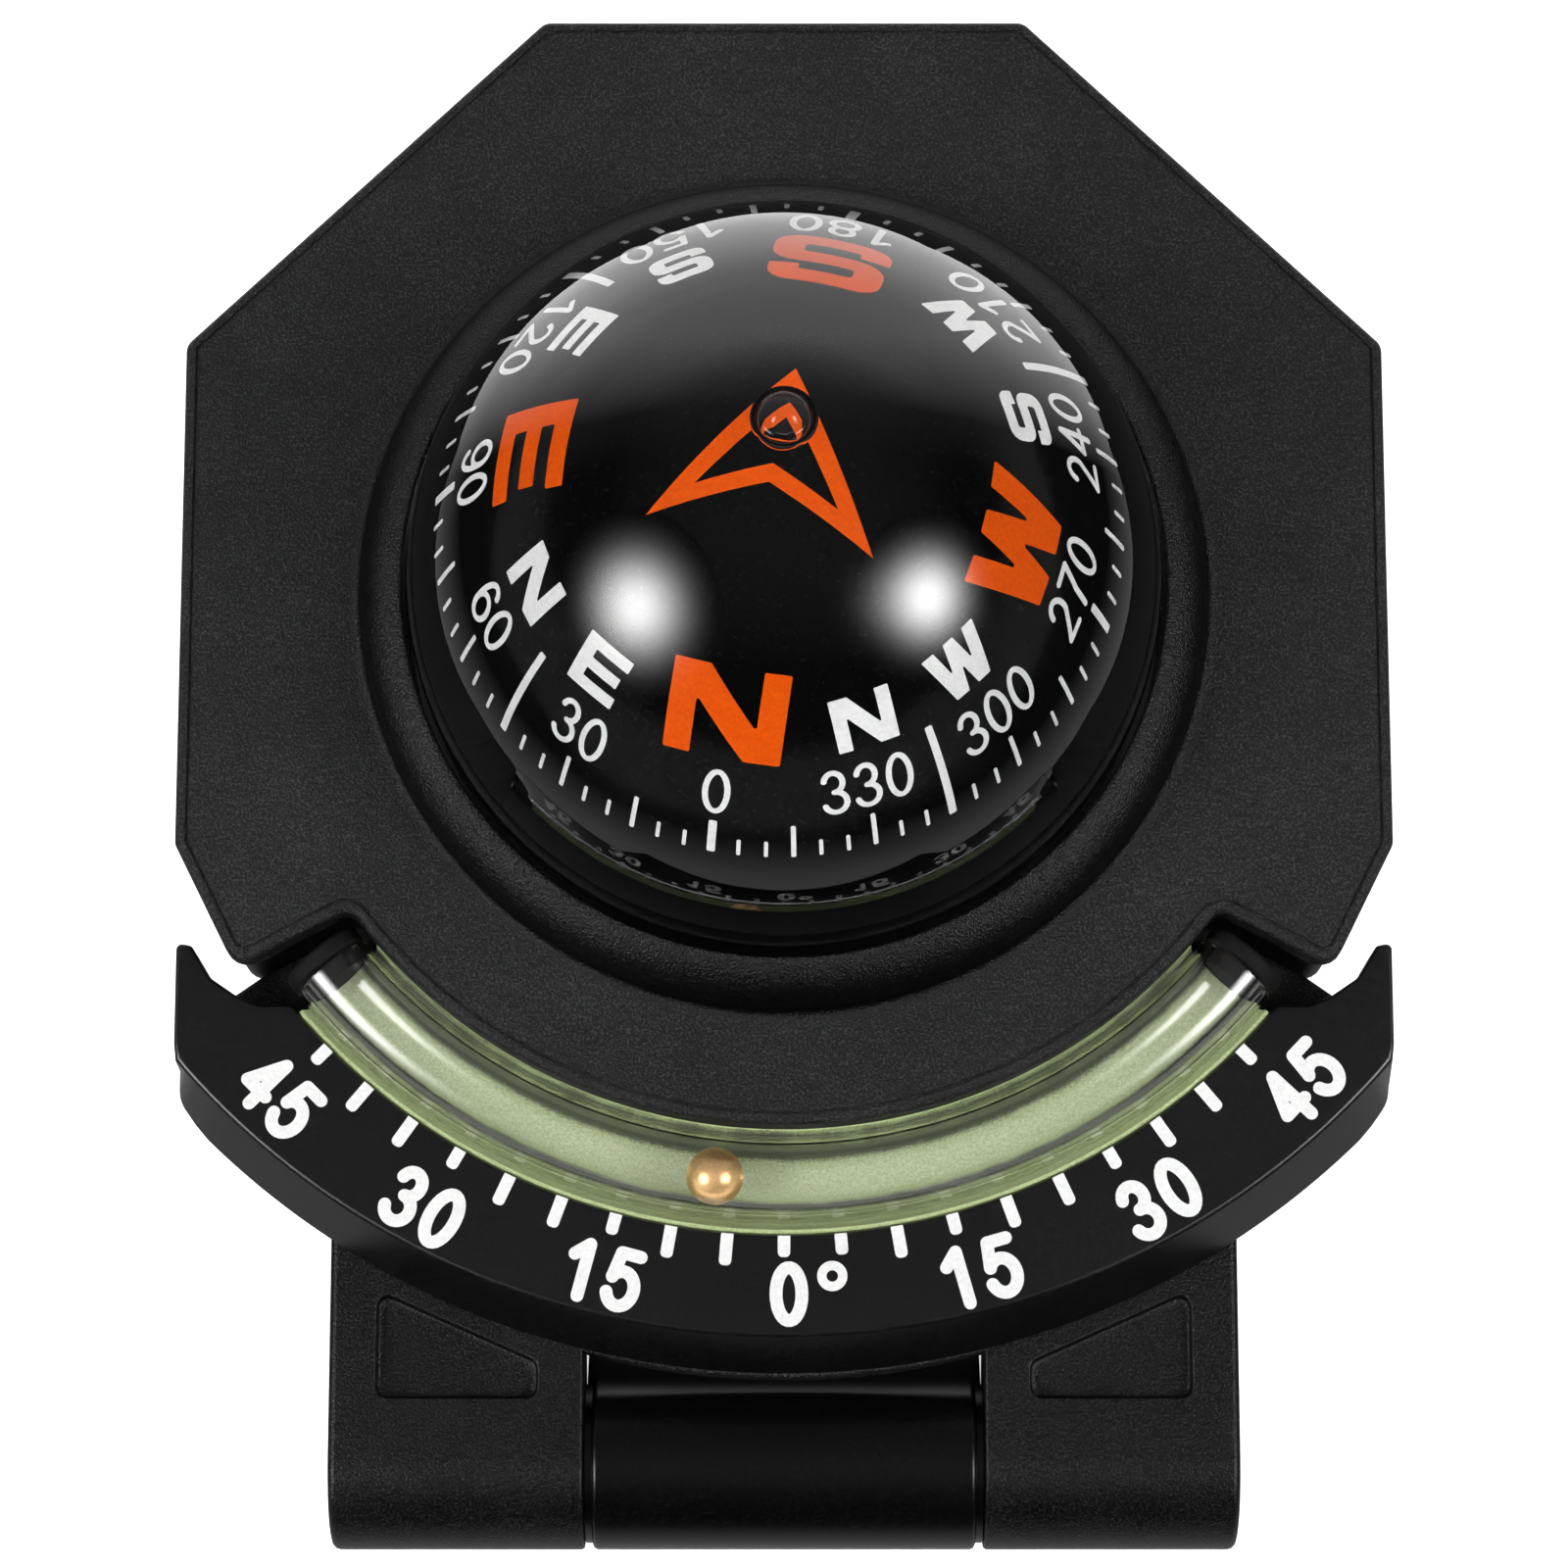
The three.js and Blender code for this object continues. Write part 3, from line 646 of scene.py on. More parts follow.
def arm(side):
    inner, outer = (ARM_INNER, ARM_OUTER) if side > 0 else (-ARM_OUTER, -ARM_INNER)
    low_edge, high_edge = (0.2, 0.5) if side > 0 else (0.5, 0.2)
    return side_bar(arm_section(), inner, outer, high_edge, low_edge)


def pin_bore(radius, from_x, to_x):
    return along_x(turned([(0, from_x), (radius, from_x), (radius, to_x), (0, to_x)], 48))


def scale_panel():
    """The crescent with the slope scale, whose outer side leans in towards its face."""
    lean = 2
    face, back = PANEL_FACE, PANEL_BACK
    centre = Vector((0, PANEL_ARC_CENTRE))
    steps = ((0.22, back), (0, back + 0.22), (0, face - 0.22), (0.03, face - 0.11),
             (0.11, face - 0.03), (0.22, face))
    rings = []
    for distance, level in steps:
        reach = PANEL_RADIUS - lean * (level - back) / (face - back)
        ring = []
        for p in panel_outline():
            offset = p - centre
            if offset.length > reach:
                offset = offset.normalized() * reach
            ring.append(offset + centre)
        rings += inset_rings(ring, [(distance, level)])
    return loft(rings)


def strip():
    """A trough that cradles the tube and shows a thin edge on either side of it."""
    cradle, first, last, steps = 2.95, -4, -174, 24
    section = [(39.25, PANEL_BACK), (39.25, -3.2), (39.15, -3.1), (39.03, -3.1)]
    for i in range(steps + 1):
        angle = math.radians(first + (last - first) * i / steps)
        section.append((TUBE_PATH_RADIUS + cradle * math.cos(angle), TUBE_LEVEL + cradle * math.sin(angle)))
    section += [(33.05, -2.9), (33.02, -2.72), (32.93, -2.72), (32.9, -2.9), (32.9, PANEL_BACK)]
    return swept(section, STRIP_END, 96)


def tube():
    """The bent tube: its outside from one end to the other, then its bore all the way back."""
    steps, sides = 96, 48
    rings = []
    for radius, start in ((TUBE_RADIUS, -TUBE_END), (TUBE_BORE, TUBE_END)):
        for i in range(steps + 1):
            angle = start * (1 - 2 * i / steps)
            ring = []
            for k in range(sides):
                turn = 2 * math.pi * k / sides
                spot = on_arc(TUBE_PATH_RADIUS + radius * math.cos(turn), angle)
                ring.append((spot.x, spot.y, TUBE_LEVEL + radius * math.sin(turn)))
            rings.append(ring)
    return loft(rings, loop=True)


def plug(side):
    """The stopper in one end of the tube, lying along the tube there."""
    profile = fillet([(0, -0.85), (1.75, -0.85, 0.15), (1.75, 0.3), (TUBE_RADIUS, 0.3, 0.1),
                      (TUBE_RADIUS, 1.3, 0.4), (0, 1.3)], closed=False)
    shape = along_x(turned(profile, 48))
    turn = math.radians(TUBE_END) if side > 0 else math.pi - math.radians(TUBE_END)
    spot = on_arc(TUBE_PATH_RADIUS, side * TUBE_END)
    return moved(shape, Matrix.Translation((*spot, TUBE_LEVEL)) @ Matrix.Rotation(turn, 4, "Z"))


def dome_profile(radius, lowest, steps, centre=0.0):
    """Half of a dome's section, from its pole down to the lowest latitude in degrees."""
    profile = [(0, centre + radius)]
    for i in range(1, steps + 1):
        latitude = math.radians(90 - (90 - lowest) * i / steps)
        profile.append((radius * math.cos(latitude), centre + radius * math.sin(latitude)))
    return profile


def slope_ball():
    ball = turned(dome_profile(BALL_RADIUS, -90, 32), 64)
    return shifted(ball, *on_arc(TUBE_PATH_RADIUS, BALL_REST), TUBE_LEVEL)


def dome_body():
    """The dome and the liquid behind it, as one lens down to the cup's wetted walls."""
    profile = dome_profile(DOME_RADIUS, 0, 48, DOME_CENTRE)
    profile += [(DOME_RADIUS, 0.1), (25, 0.1), (25, -1.3), (20.65, -1.3), (20.65, -8.85), (16.05, -14.05),
                (0, -14.05)]
    return turned(profile, 160)


def air_bubble():
    """A bubble pressed flat against the inside of the dome."""
    dome_inside, flat_radius, radius, level, depth = 21.15, 1.35, 1.9, 20.2, 1.8
    top = [flat_radius * i / 6 for i in range(7)]
    profile = [(r, math.sqrt(dome_inside ** 2 - r ** 2)) for r in top]
    profile += curved((flat_radius, level), (radius - flat_radius, 0.85), 75, 0)
    profile += curved((0, level), (radius, depth), -8, -84) + [(0, level - depth)]
    return shifted(turned(profile, 64), 0, 0.2)


def cup():
    profile = fillet([
        (0, -15.5), (17.5, -15.5, 1.2), (22.2, -9, 1.2), (22.2, -4.3, 0.2), (25, -4.3, 0.2),
        (25, -2.9, 0.2), (20.6, -2.9, 0.2), (20.6, -8.8, 1), (16, -14, 1), (0, -14),
    ], closed=False)
    return turned(profile, 128)


def cup_cutters():
    vent = turned([(0, -17), (0.8, -17), (0.8, -13), (0, -13)], 24)
    filler = turned([(0, -17), (1.3, -17), (1.3, -13), (0, -13)], 24)
    return [shifted(vent, *spot) for spot in hexagon(6.5)] + [shifted(filler, *FILLER_SPOT)]


def diaphragm_cap():
    profile = fillet([(0, -18.3), (9.2, -18.3, 0.4), (9.5, -18.0, 0.2), (11, -18.0), (12, -17.9, 0.5),
                      (12, -15.8, 0.2), (10.6, -15.8), (10.6, -17.2), (0, -17.2)], closed=False)
    return turned(profile, 96)


def screw_head(spot):
    profile = fillet([(0, -11.3), (1.6, -11.3, 0.6), (2.3, -10.6, 0.4), (2.3, -9.8, 0.1), (1.2, -9.8),
                      (1.2, -3.6), (0.8, -3.3), (0, -3.3)], closed=False)
    return shifted(turned(profile, 48), *spot)


def cross_recess(spot):
    blade = rectangle(1.15, -0.22, 0.22, 0.08)
    upright = [Vector((p.y, p.x)) for p in reversed(blade)]
    return [shifted(slab(outline, -12, -10.75, 0.02), *spot) for outline in (blade, upright)]


def filler_screw():
    profile = fillet([(0, -17), (1.4, -17, 0.2), (1.6, -16.8, 0.1), (1.6, -15.8), (1, -15.8), (1, -14.4),
                      (0, -14.4)], closed=False)
    return shifted(turned(profile, 40), *FILLER_SPOT)


def hexagon(radius):
    return [unit(math.pi / 3 * i) * radius for i in range(6)]


def hinge_pin():
    profile = fillet([(0, -27.2), (1.3, -27.2), (1.5, -27.0), (1.5, 25.5), (2.6, 25.5, 0.1),
                      (2.6, 27.4, 0.3), (0, 27.4)], closed=False)
    return along_x(turned(profile, 48))


# ---- Marks ----
def flat_mesh(outlines):
    """A flat bmesh that covers what any of the anticlockwise outlines covers."""
    points, polygons = [], []
    for outline in outlines:
        polygons.append(list(range(len(points), len(points) + len(outline))))
        points += [Vector((p[0], p[1])) for p in outline]
    corners, _, triangles, _, _, sources = delaunay_2d_cdt(points, [], polygons, INSIDE_ONLY, 1e-4)
    built = bmesh.new()
    made = [built.verts.new((p.x, p.y, 0)) for p in corners]
    for triangle, source in zip(triangles, sources):
        if source:
            built.faces.new([made[i] for i in triangle])
    bmesh.ops.delete(built, geom=[v for v in built.verts if not v.link_faces], context="VERTS")
    return built


def flat_ring(outer, inner):
    built = bmesh.new()
    a = [built.verts.new((*p, 0)) for p in outer]
    b = [built.verts.new((*p, 0)) for p in inner]
    for i in range(len(a)):
        k = (i + 1) % len(a)
        built.faces.new((a[i], a[k], b[k], b[i]))
    return built


def curved(centre, radii, start, end):
    """Points of an ellipse from one angle to another."""
    steps = max(2, round(abs(end - start) / 12))
    angles = [math.radians(start + (end - start) * i / steps) for i in range(steps + 1)]
    return [(centre[0] + radii[0] * math.cos(a), centre[1] + radii[1] * math.sin(a)) for a in angles]


def oval(centre, radii):
    """A closed stroke, as its two halves."""
    return [curved(centre, radii, 0, 180), curved(centre, radii, 180, 360)]


# The middle lines of the digits' strokes, in a box one wide and one high.
DIGITS = {
    "0": oval((0.5, 0.5), (0.5, 0.5)),
    "1": [[(0.12, 0.76), (0.62, 1.0)], [(0.62, 1.0), (0.62, 0.0)]],
    "2": [curved((0.5, 0.71), (0.46, 0.29), 165, -30) + [(0.02, 0.0)], [(0.02, 0.0), (1.0, 0.0)]],
    "3": [curved((0.47, 0.76), (0.42, 0.24), 165, -90), curved((0.47, 0.26), (0.5, 0.26), 90, -165)],
    "4": [[(0.72, 1.0), (0.0, 0.3)], [(0.0, 0.3), (1.0, 0.3)], [(0.72, 1.0), (0.72, 0.0)]],
    "5": [[(0.95, 1.0), (0.2, 1.0)], [(0.2, 1.0), (0.06, 0.52)],
          curved((0.47, 0.33), (0.53, 0.33), 142, -160)],
    "6": [curved((0.52, 0.76), (0.42, 0.24), 20, 90) + curved((0.52, 0.42), (0.52, 0.58), 90, 190),
          *oval((0.5, 0.31), (0.5, 0.31))],
    "7": [[(0.0, 1.0), (1.0, 1.0)], [(1.0, 1.0), (0.5, 0.45), (0.35, 0.0)]],
    "8": oval((0.5, 0.76), (0.42, 0.24)) + oval((0.5, 0.27), (0.5, 0.27)),
}
DIGITS["9"] = [[(1 - x, 1 - y) for x, y in stroke] for stroke in DIGITS["6"]]


def stroked(path, width):
    """The outline of a round-ended stroke along a path."""
    points = [Vector(p) for p in path]
    left, right = [], []
    for i, here in enumerate(points):
        before = (here - points[i - 1]).normalized() if i else None
        after = (points[i + 1] - here).normalized() if i + 1 < len(points) else None
        along = (((before or after) + (after or before)) / 2).normalized()
        side = Vector((-along.y, along.x)) * width / 2
        left.append(here + side)
        right.append(here - side)

    def cap(centre, start):
        arm = start - centre
        turns = [Matrix.Rotation(math.pi * k / 8, 2) for k in range(1, 8)]
        return [centre + turn @ arm for turn in turns]

    return right + cap(points[-1], right[-1]) + left[::-1] + cap(points[0], left[0])


def number_outlines(words, height, digit_width, gap, stroke):
    """Strokes of a number, centred, with its outer height and digit width in mm."""
    inner_width, inner_height = digit_width - stroke, height - stroke
    pitch = digit_width + gap
    start = -(len(words) * pitch - gap) / 2 + stroke / 2
    outlines = []
    for i, digit in enumerate(words):
        for path in DIGITS[digit]:
            placed = [(start + i * pitch + x * inner_width, (y - 0.5) * inner_height) for x, y in path]
            outlines.append(stroked(placed, stroke))
    return outlines


def gridded(built):
    """Cuts the flat bmesh along a grid so that it can follow a curved surface."""
    gap, off_the_corners = 1.0, 0.013
    for axis in (0, 1):
        reach = max(abs(v.co[axis]) for v in built.verts)
        for i in range(-int(reach / gap), int(reach / gap) + 1):
            normal, at = [0, 0, 0], [0, 0, 0]
            normal[axis], at[axis] = 1, i * gap + off_the_corners
            geometry = built.verts[:] + built.edges[:] + built.faces[:]
            bmesh.ops.bisect_plane(built, geom=geometry, plane_co=at, plane_no=normal, dist=1e-5)
    return built


def raised(built, mapping, low, high):
    """A thin closed solid over the flat bmesh; mapping(x, y, height) says where a point goes."""
    built.verts.ensure_lookup_table()
    built.verts.index_update()
    built.normal_update()
    corners = [mapping(v.co.x, v.co.y, h) for h in (low, high) for v in built.verts]
    count = len(built.verts)
    faces = []
    for face in built.faces:
        ids = [v.index for v in face.verts]
        if face.normal.z < 0:
            ids.reverse()
        faces.append(tuple(i + count for i in ids))
        faces.append(tuple(reversed(ids)))
        for a, b in zip(ids, ids[1:] + ids[:1]):
            edge = built.edges.get((built.verts[a], built.verts[b]))
            if edge.is_boundary:
                faces.append((a, b, b + count, a + count))
    built.free()
    return corners, faces


def on_panel(radius, angle):
    """Places a flat mark on the scale panel, its top towards the dome."""
    centre = on_arc(radius, angle)
    up = -centre.normalized()
    right = Vector((up.y, -up.x))

    def mapping(x, y, height):
        spot = centre + right * x + up * y
        return (spot.x, spot.y, PANEL_FACE + height)

    return mapping


def heading_direction(heading):
    return unit(math.radians(90 - CARD_NORTH - heading)).to_3d()


def on_card(heading, latitude):
    """Places a flat mark on the card's sphere, its top towards the pole."""
    flat = heading_direction(heading)
    lift = math.radians(latitude)
    centre = flat * math.cos(lift) + Vector((0, 0, math.sin(lift)))
    up = Vector((0, 0, math.cos(lift))) - flat * math.sin(lift)
    return sphere_mapping(centre, up.cross(centre), up)


def sphere_mapping(centre, right, up):
    def mapping(x, y, height):
        distance = math.hypot(x, y)
        if distance < 1e-9:
            return tuple(centre * (CARD_RADIUS + height))
        side = (right * x + up * y) / distance
        turn = distance / CARD_RADIUS
        return tuple((centre * math.cos(turn) + side * math.sin(turn)) * (CARD_RADIUS + height))

    return mapping


# Outlines of the capitals, 6.3 high, as corners with a radius where they are round.
LETTER_HEIGHT = 6.3
LETTERS = {
    "N": [(0, 0), (1.6, 0), (1.6, 4.05), (4.75, 0), (6.9, 0), (6.9, 6.3), (5.3, 6.3), (5.3, 2.25),
          (2.15, 6.3), (0, 6.3)],
    "E": [(0, 0), (6.2, 0), (6.2, 1.4), (1.65, 1.4), (1.65, 2.5), (5.7, 2.5), (5.7, 3.8), (1.65, 3.8),
          (1.65, 4.9), (6.1, 4.9), (6.1, 6.3), (0, 6.3)],
    "S": [(0, 2.0), (0, 0, 1.2), (5.9, 0, 1.4), (5.9, 3.85, 1.4), (1.55, 3.85, 0.3), (1.55, 4.95, 0.3),
          (4.35, 4.95, 0.2), (4.35, 4.3), (5.9, 4.3), (5.9, 6.3, 1.2), (0, 6.3, 1.4), (0, 2.5, 1.4),
          (4.35, 2.5, 0.3), (4.35, 1.35, 0.3), (1.55, 1.35, 0.2), (1.55, 2.0)],
    "W": [(1.35, 0), (3.1, 0), (3.8, 3.2), (4.5, 0), (6.25, 0), (7.6, 6.3), (5.95, 6.3), (5.25, 2.6),
          (4.5, 6.3), (3.1, 6.3), (2.35, 2.6), (1.65, 6.3), (0, 6.3)],
}


def letter(name, height, width_share):
    """A wide bold capital, centred."""
    outline = fillet([(*p, 0.12) if len(p) < 3 else p for p in LETTERS[name]], steps=4)
    width = max(p.x for p in outline)
    scale = height / LETTER_HEIGHT
    return [((p.x - width / 2) * scale * width_share, (p.y - LETTER_HEIGHT / 2) * scale) for p in outline]


def painted(built, mapping):
    """Paint over the card's surface, from a flat bmesh."""
    return raised(gridded(built), mapping, PRINT_LOW, PRINT_HIGH)


def card_white_marks():
    """The degree ticks, the numbers and the small letters of the card."""
    marks = []

    def add(outlines, heading, latitude):
        marks.append(painted(flat_mesh(outlines), on_card(heading, latitude)))

    per_degree = math.radians(1) * CARD_RADIUS
    outer, number_latitude, letter_latitude = 6.9, 22.4, 36.3
    for heading in range(0, 360, 5):
        if heading % 90 == 45:
            inner, width = 29.5, 0.43
        elif heading % 15 == 0:
            inner, width = 15.3, 0.44 if heading % 90 == 0 else 0.26
        else:
            inner, width = 11.2, 0.21
        middle, half = (outer + inner) / 2, (inner - outer) / 2 * per_degree
        add([rectangle(width / 2, -half, half, 0.1)], heading, middle)
    for heading in range(0, 360, 30):
        number = number_outlines(str(heading), height=2.98, digit_width=1.5, gap=0.25, stroke=0.32)
        add(number, heading, number_latitude)
    for corner, pair in ((45, "NE"), (135, "SE"), (225, "SW"), (315, "NW")):
        for shift, name in ((13, pair[0]), (-13, pair[1])):
            add([letter(name, 3.15, 0.97)], corner + shift, letter_latitude)
    return together(*marks)


def card_orange_marks():
    """The four big letters and a plain hollow dart over the pivot."""
    marks = []
    height, latitude = 5.3, 39.3
    for heading, name, width_share in ((0, "N", 1.09), (90, "E", 0.97), (180, "S", 1.15), (270, "W", 1.1)):
        outline = letter(name, height, width_share)
        marks.append(painted(flat_mesh([outline]), on_card(heading, latitude)))
    outer = [(0, 5.0), (-6.3, -4.5), (0, -1.9), (6.3, -4.5)]
    inner = [(0, 2.9), (-3.9, -2.55), (0, -0.85), (3.9, -2.55)]
    up = heading_direction(180)
    pole = Vector((0, 0, 1))
    marks.append(painted(flat_ring(outer, inner), sphere_mapping(pole, up.cross(pole), up)))
    return together(*marks)


def scale_marks():
    """The slope meter's ticks, numerals and degree sign, as raised paint on the panel."""
    marks = []
    low, high = -0.02, 0.06
    start = PANEL_INNER_RADIUS + 0.05
    half_width, degree_radius, hole_radius = 0.38, 0.92, 0.35
    circle = [unit(math.pi / 16 * i) for i in range(32)]
    for angle in range(-45, 50, 5):
        short = angle % 15 == 0 or angle == 5
        length = 1.3 if short else 1.95
        outline = fillet([(-half_width, -length, 0.3), (half_width, -length, 0.3), (half_width, 0),
                          (-half_width, 0)])
        marks.append(raised(flat_mesh([outline]), on_panel(start, angle), low, high))
    for words, angle, radius in (("45", -45.0, 43.6), ("30", -30.2, 43.6), ("15", -14.8, 43.2),
                                 ("0", 0.4, 42.95), ("15", 16.0, 43.3), ("30", 31.6, 43.6),
                                 ("45", 46.5, 43.7)):
        numeral = number_outlines(words, height=4.0, digit_width=2.35, gap=0.3, stroke=0.78)
        marks.append(raised(flat_mesh(numeral), on_panel(radius, angle), low, high))
    ring = flat_ring([p * degree_radius for p in circle], [p * hole_radius for p in circle])
    marks.append(raised(ring, on_panel(41.95, 4.0), low, high))
    return together(*marks)


# ---- Card ----
def card_shell():
    wall, rim, steps = 0.8, 3, 40
    profile = dome_profile(CARD_RADIUS, rim, steps)
    profile += reversed(dome_profile(CARD_RADIUS - wall, rim, steps))
    return turned(profile, 128)


# ---- Foot ----
def barrel():
    """The hinge barrel, with a washer's seat and a lip round it at each end."""
    half, bore, seat, seat_end, lip, lip_end = 11.8, 1.8, 4.4, 11.15, 4.9, 12.2
    left_end = [(bore, -seat_end), (seat, -seat_end), (seat, -lip_end), (lip, -lip_end), (lip, -half),
                (BARREL_RADIUS, -half, 0.35)]
    right_end = [(radius, -x, *rounding) for radius, x, *rounding in reversed(left_end)]
    profile = fillet(left_end + right_end, steps=4)
    return shifted(along_x(turned(profile, 96)), 0, HINGE_Y, HINGE_Z)


def foot_neck():
    outline = fillet([(-38, 1.42), (-21, 1.4, 0.3), (-21, 3.8, 0.3), (-27.5, 4.3, 2), (-32.95, 7.95),
                      (-34.2, 8.0), (-35.2, 5.0), (-38, 3.5)])
    return side_bar(outline, -12.2, 12.2, 0.2)


piece("bezel_moulding", bezel(), HOUSING, FACEPLATE, "housing", ["front_bezel"])
screw_holes = [shifted(turned([(0, -12), (1.5, -12), (1.5, -6), (0, -6)], 32), x, y) for x, y in SCREW_SPOTS]
piece("rear_tray", tray(), HOUSING, TEXTURED, "housing", ["rear_shell"],
      cutters=screw_holes)
apron = slab(apron_outline(), TRAY_BACK, ARM_FACE, 0.25)
piece("panel_bracket", apron, HOUSING, TEXTURED, "housing")
hinge_line = Matrix.Translation((0, HINGE_V, HINGE_W))
for label, side in (("left", -1), ("right", 1)):
    seat = pin_bore(3, 25.2, 40) if side > 0 else pin_bore(3.4, -40, -25.2)
    tools = [pocket(side), moved(pin_bore(1.8, -40, 40), hinge_line), moved(seat, hinge_line)]
    piece("hinge_arm_" + label, arm(side), HOUSING, ARM_SHADED_BLACK, "housing", cutters=tools)
    piece("tube_stopper_" + label, plug(side), HOUSING, RUBBER, "housing",
          ["tube_plug_" + label])

piece("slope_panel", scale_panel(), HOUSING, SATIN, "housing", ["scale_panel"])
piece("slope_marks", scale_marks(), HOUSING, WHITE_PRINT, "housing")
piece("glow_trough", strip(), HOUSING, GLOW, "housing", ["luminous_strip"])
piece("slope_tube_glass", tube(), HOUSING, TUBE_CLEAR, "housing", ["slope_tube"])
piece("slope_ball", slope_ball(), HOUSING, BALL_METAL, "ball", ["roll_ball"])
piece("dome_and_liquid", dome_body(), HOUSING, DOME_CLEAR, "housing", ["clear_dome"])
piece("air_bubble", air_bubble(), BUBBLE, BUBBLE_AIR, "housing")
piece("cup_moulding", cup(), HOUSING, SHADE_BLACK, "housing", ["capsule_cup"],
      cutters=cup_cutters())
piece("vent_cap", diaphragm_cap(), HOUSING, SATIN, "housing", ["diaphragm_cap"])
piece("filler_screw", filler_screw(), HOUSING, BRASS, "housing", ["filler_plug"])
for i, spot in enumerate(SCREW_SPOTS):
    piece(f"shell_screw_{i + 1}", screw_head(spot), HOUSING, STEEL, "housing",
          [f"case_screw_{i + 1}"], cutters=cross_recess(spot))
socket = side_bar(hexagon(1.3), 26.4, 29, 0.01)
piece("hinge_pin", hinge_pin(), HOUSING_HINGE, STEEL, "housing", ["hinge_screw"], cutters=[socket])
nut = side_bar(hexagon(3), -27.5, -25.5, 0.15)
piece("hinge_pin_nut", nut, HOUSING_HINGE, STEEL, "housing", ["hinge_nut"],
      cutters=[pin_bore(1.65, -29, -24)])

piece("card_dome", card_shell(), CARD, CARD_BLACK, "card", ["compass_card"])
piece("card_white_marks", card_white_marks(), CARD, WHITE_PRINT, "card")
piece("card_orange_marks", card_orange_marks(), CARD, ORANGE_PRINT, "card")

foot_base = slab(spaced(rectangle(23, HINGE_Y + 9, HINGE_Y + 67, 9), 4), 1.0, 4, 0.6)
piece("foot_barrel", barrel(), WORLD, HINGE_BLACK, "mount", ["mount_foot"])
piece("foot_neck", foot_neck(), WORLD, SHADE_BLACK, "mount")
piece("foot_base", foot_base, WORLD, SATIN, "mount")
pad = slab(spaced(rectangle(22, HINGE_Y + 10, HINGE_Y + 66, 8), 4), 0, 0.7, 0.08)
piece("foam_pad", pad, WORLD, FOAM, "mount", ["adhesive_pad"])

for name, material in {
    "capsule_seal": RUBBER, "diaphragm": RUBBER, "retaining_ring": BRASS, "pivot_post": SATIN,
    "pivot_pin": STEEL, "friction_washer_left": RUBBER, "friction_washer_right": RUBBER,
    "card_float": FOAM, "jewel_cup": BRASS, "card_magnet_left": STEEL, "card_magnet_right": STEEL,
}.items():
    node = frame["nodes"][name]
    node.data.materials.clear()
    node.data.materials.append(material)


# ---- Stage ----
def floor():
    """A pale table under the foot, which is clear when it is seen from below."""
    made, tree, shader = new_material("floor", Roughness=0.9, Specular_IOR_Level=0.1)
    stops = [(0, (0.86, 0.86, 0.86)), (1, (0.9, 0.9, 0.9))]
    tree.links.new(coloured(tree, noise(tree, 40, 2), stops), shader.inputs["Base Color"])
    shader.inputs["Emission Color"].default_value = (1, 1, 1, 1)
    shader.inputs["Emission Strength"].default_value = 0.75
    open_where(tree, shader, new_node(tree, "NewGeometry").outputs["Backfacing"])
    mesh = bpy.data.meshes.new("floor")
    reach, level = 6, -0.05 * MM
    mesh.from_pydata([(-reach, -reach, level), (reach, -reach, level), (reach, reach, level),
                      (-reach, reach, level)], [], [(0, 1, 2, 3)])
    mesh.materials.append(made)
    made_floor = new_object("floor", mesh)
    made_floor.visible_glossy = False


def soft_lamp(name, azimuth, elevation, distance, spread, strength):
    """A round lamp that faces the compass and fades out to its edge; its measures are in metres."""
    edge = spread * 2.6
    a, e = math.radians(azimuth), math.radians(elevation)
    direction = Vector((math.sin(a) * math.cos(e), math.cos(a) * math.cos(e), math.sin(e)))
    made = bpy.data.materials.new(name)
    made.use_nodes = True
    tree = made.node_tree
    tree.nodes.clear()
    emission = new_node(tree, "Emission")
    output = new_node(tree, "OutputMaterial")
    tree.links.new(emission.outputs["Emission"], output.inputs["Surface"])
    coordinates = new_node(tree, "TexCoord")
    squared = new_node(tree, "VectorMath", "DOT_PRODUCT")
    for i in (0, 1):
        tree.links.new(coordinates.outputs["Object"], squared.inputs[i])
    value = squared.outputs["Value"]
    for operation, number in (("MULTIPLY", -1 / spread ** 2), ("EXPONENT", 0), ("MULTIPLY", strength)):
        step = new_node(tree, "Math", operation)
        step.inputs[1].default_value = number
        tree.links.new(value, step.inputs[0])
        value = step.outputs["Value"]
    tree.links.new(value, emission.inputs["Strength"])
    built = bmesh.new()
    bmesh.ops.create_circle(built, cap_ends=True, radius=edge, segments=64)
    mesh = bpy.data.meshes.new(name)
    built.to_mesh(mesh)
    built.free()
    mesh.materials.append(made)
    lamp = new_object(name, mesh)
    lamp.location = CAPSULE + direction * distance
    lamp.rotation_euler = direction.to_track_quat("Z", "Y").to_euler()
    lamp.visible_camera = False
    lamp.visible_shadow = False


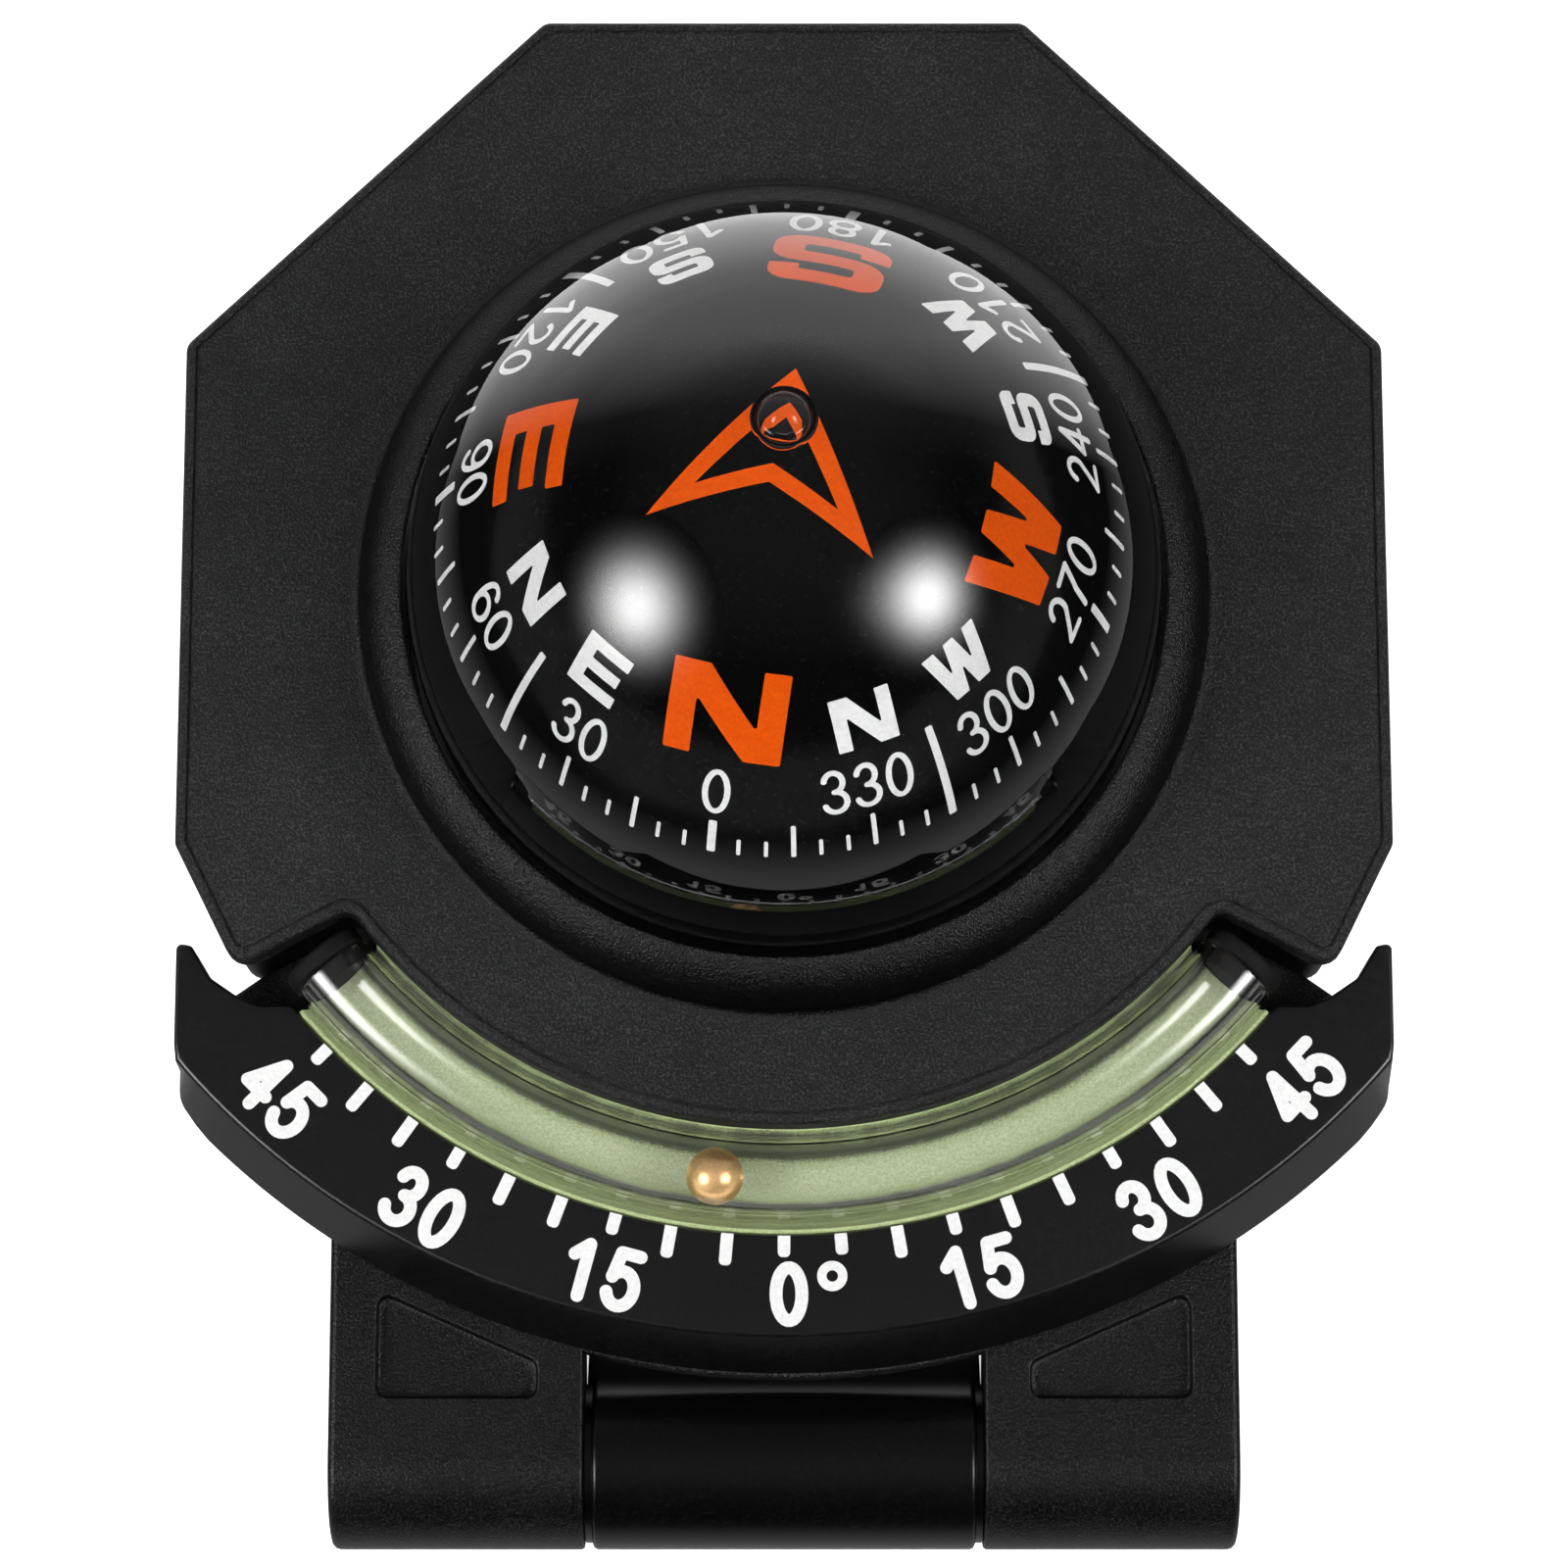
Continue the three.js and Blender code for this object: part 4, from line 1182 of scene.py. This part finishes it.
def surroundings():
    """A studio that is bright behind the compass, dim overhead, dark in front and pale from below."""
    world = bpy.data.worlds.new("studio")
    bpy.context.scene.world = world
    world.use_nodes = True
    tree = world.node_tree
    tree.nodes.clear()
    output = new_node(tree, "OutputWorld")
    lit = new_node(tree, "Background")
    seen = new_node(tree, "Background")
    seen.inputs["Color"].default_value = (1, 1, 1, 1)
    mix = new_node(tree, "MixShader")
    path = new_node(tree, "LightPath")
    coordinates = new_node(tree, "TexCoord")
    parts = new_node(tree, "SeparateXYZ")
    tree.links.new(coordinates.outputs["Generated"], parts.inputs["Vector"])
    height = parts.outputs["Z"]
    low = added(tree, ranged(tree, height, 0.62, 0.9, 1.0, 0.0), ranged(tree, height, -0.1, 0.3, 0.5, 0.0))
    behind = ranged(tree, parts.outputs["Y"], 0.48, 0.8, 0.0, 1.85)
    product = new_node(tree, "Math", "MULTIPLY")
    tree.links.new(low, product.inputs[0])
    tree.links.new(behind, product.inputs[1])
    overhead = ranged(tree, height, 0.6, 0.95, 0.018, 0.16)
    below = ranged(tree, height, -0.35, -0.6, 0.0, 0.6)
    total = added(tree, added(tree, product.outputs["Value"], overhead), below)
    tree.links.new(total, lit.inputs["Strength"])
    tree.links.new(path.outputs["Is Camera Ray"], mix.inputs["Fac"])
    tree.links.new(lit.outputs["Background"], mix.inputs[1])
    tree.links.new(seen.outputs["Background"], mix.inputs[2])
    tree.links.new(mix.outputs["Shader"], output.inputs["Surface"])


def camera():
    """Looks at the faceplate from 66.8 degrees up, on the middle line."""
    tilt = math.radians(11.7)
    axis = OUT * math.cos(tilt) - UP * math.sin(tilt)
    distance, aim_v = 0.324, -0.012
    lens = bpy.data.cameras.new("camera")
    lens.lens = 121.5
    lens.sensor_width = 36
    lens.clip_start = 0.01
    holder = new_object("camera", lens)
    holder.location = ORIGIN + UP * aim_v + axis * distance
    holder.rotation_euler = axis.to_track_quat("Z", "Y").to_euler()
    bpy.context.scene.camera = holder


floor()
soft_lamp("lamp_left", -121, 35.5, 0.9, 0.17, 27)
soft_lamp("lamp_right", 120, 38.5, 0.9, 0.15, 30)
surroundings()
camera()
bpy.context.scene.view_settings.view_transform = "Standard"
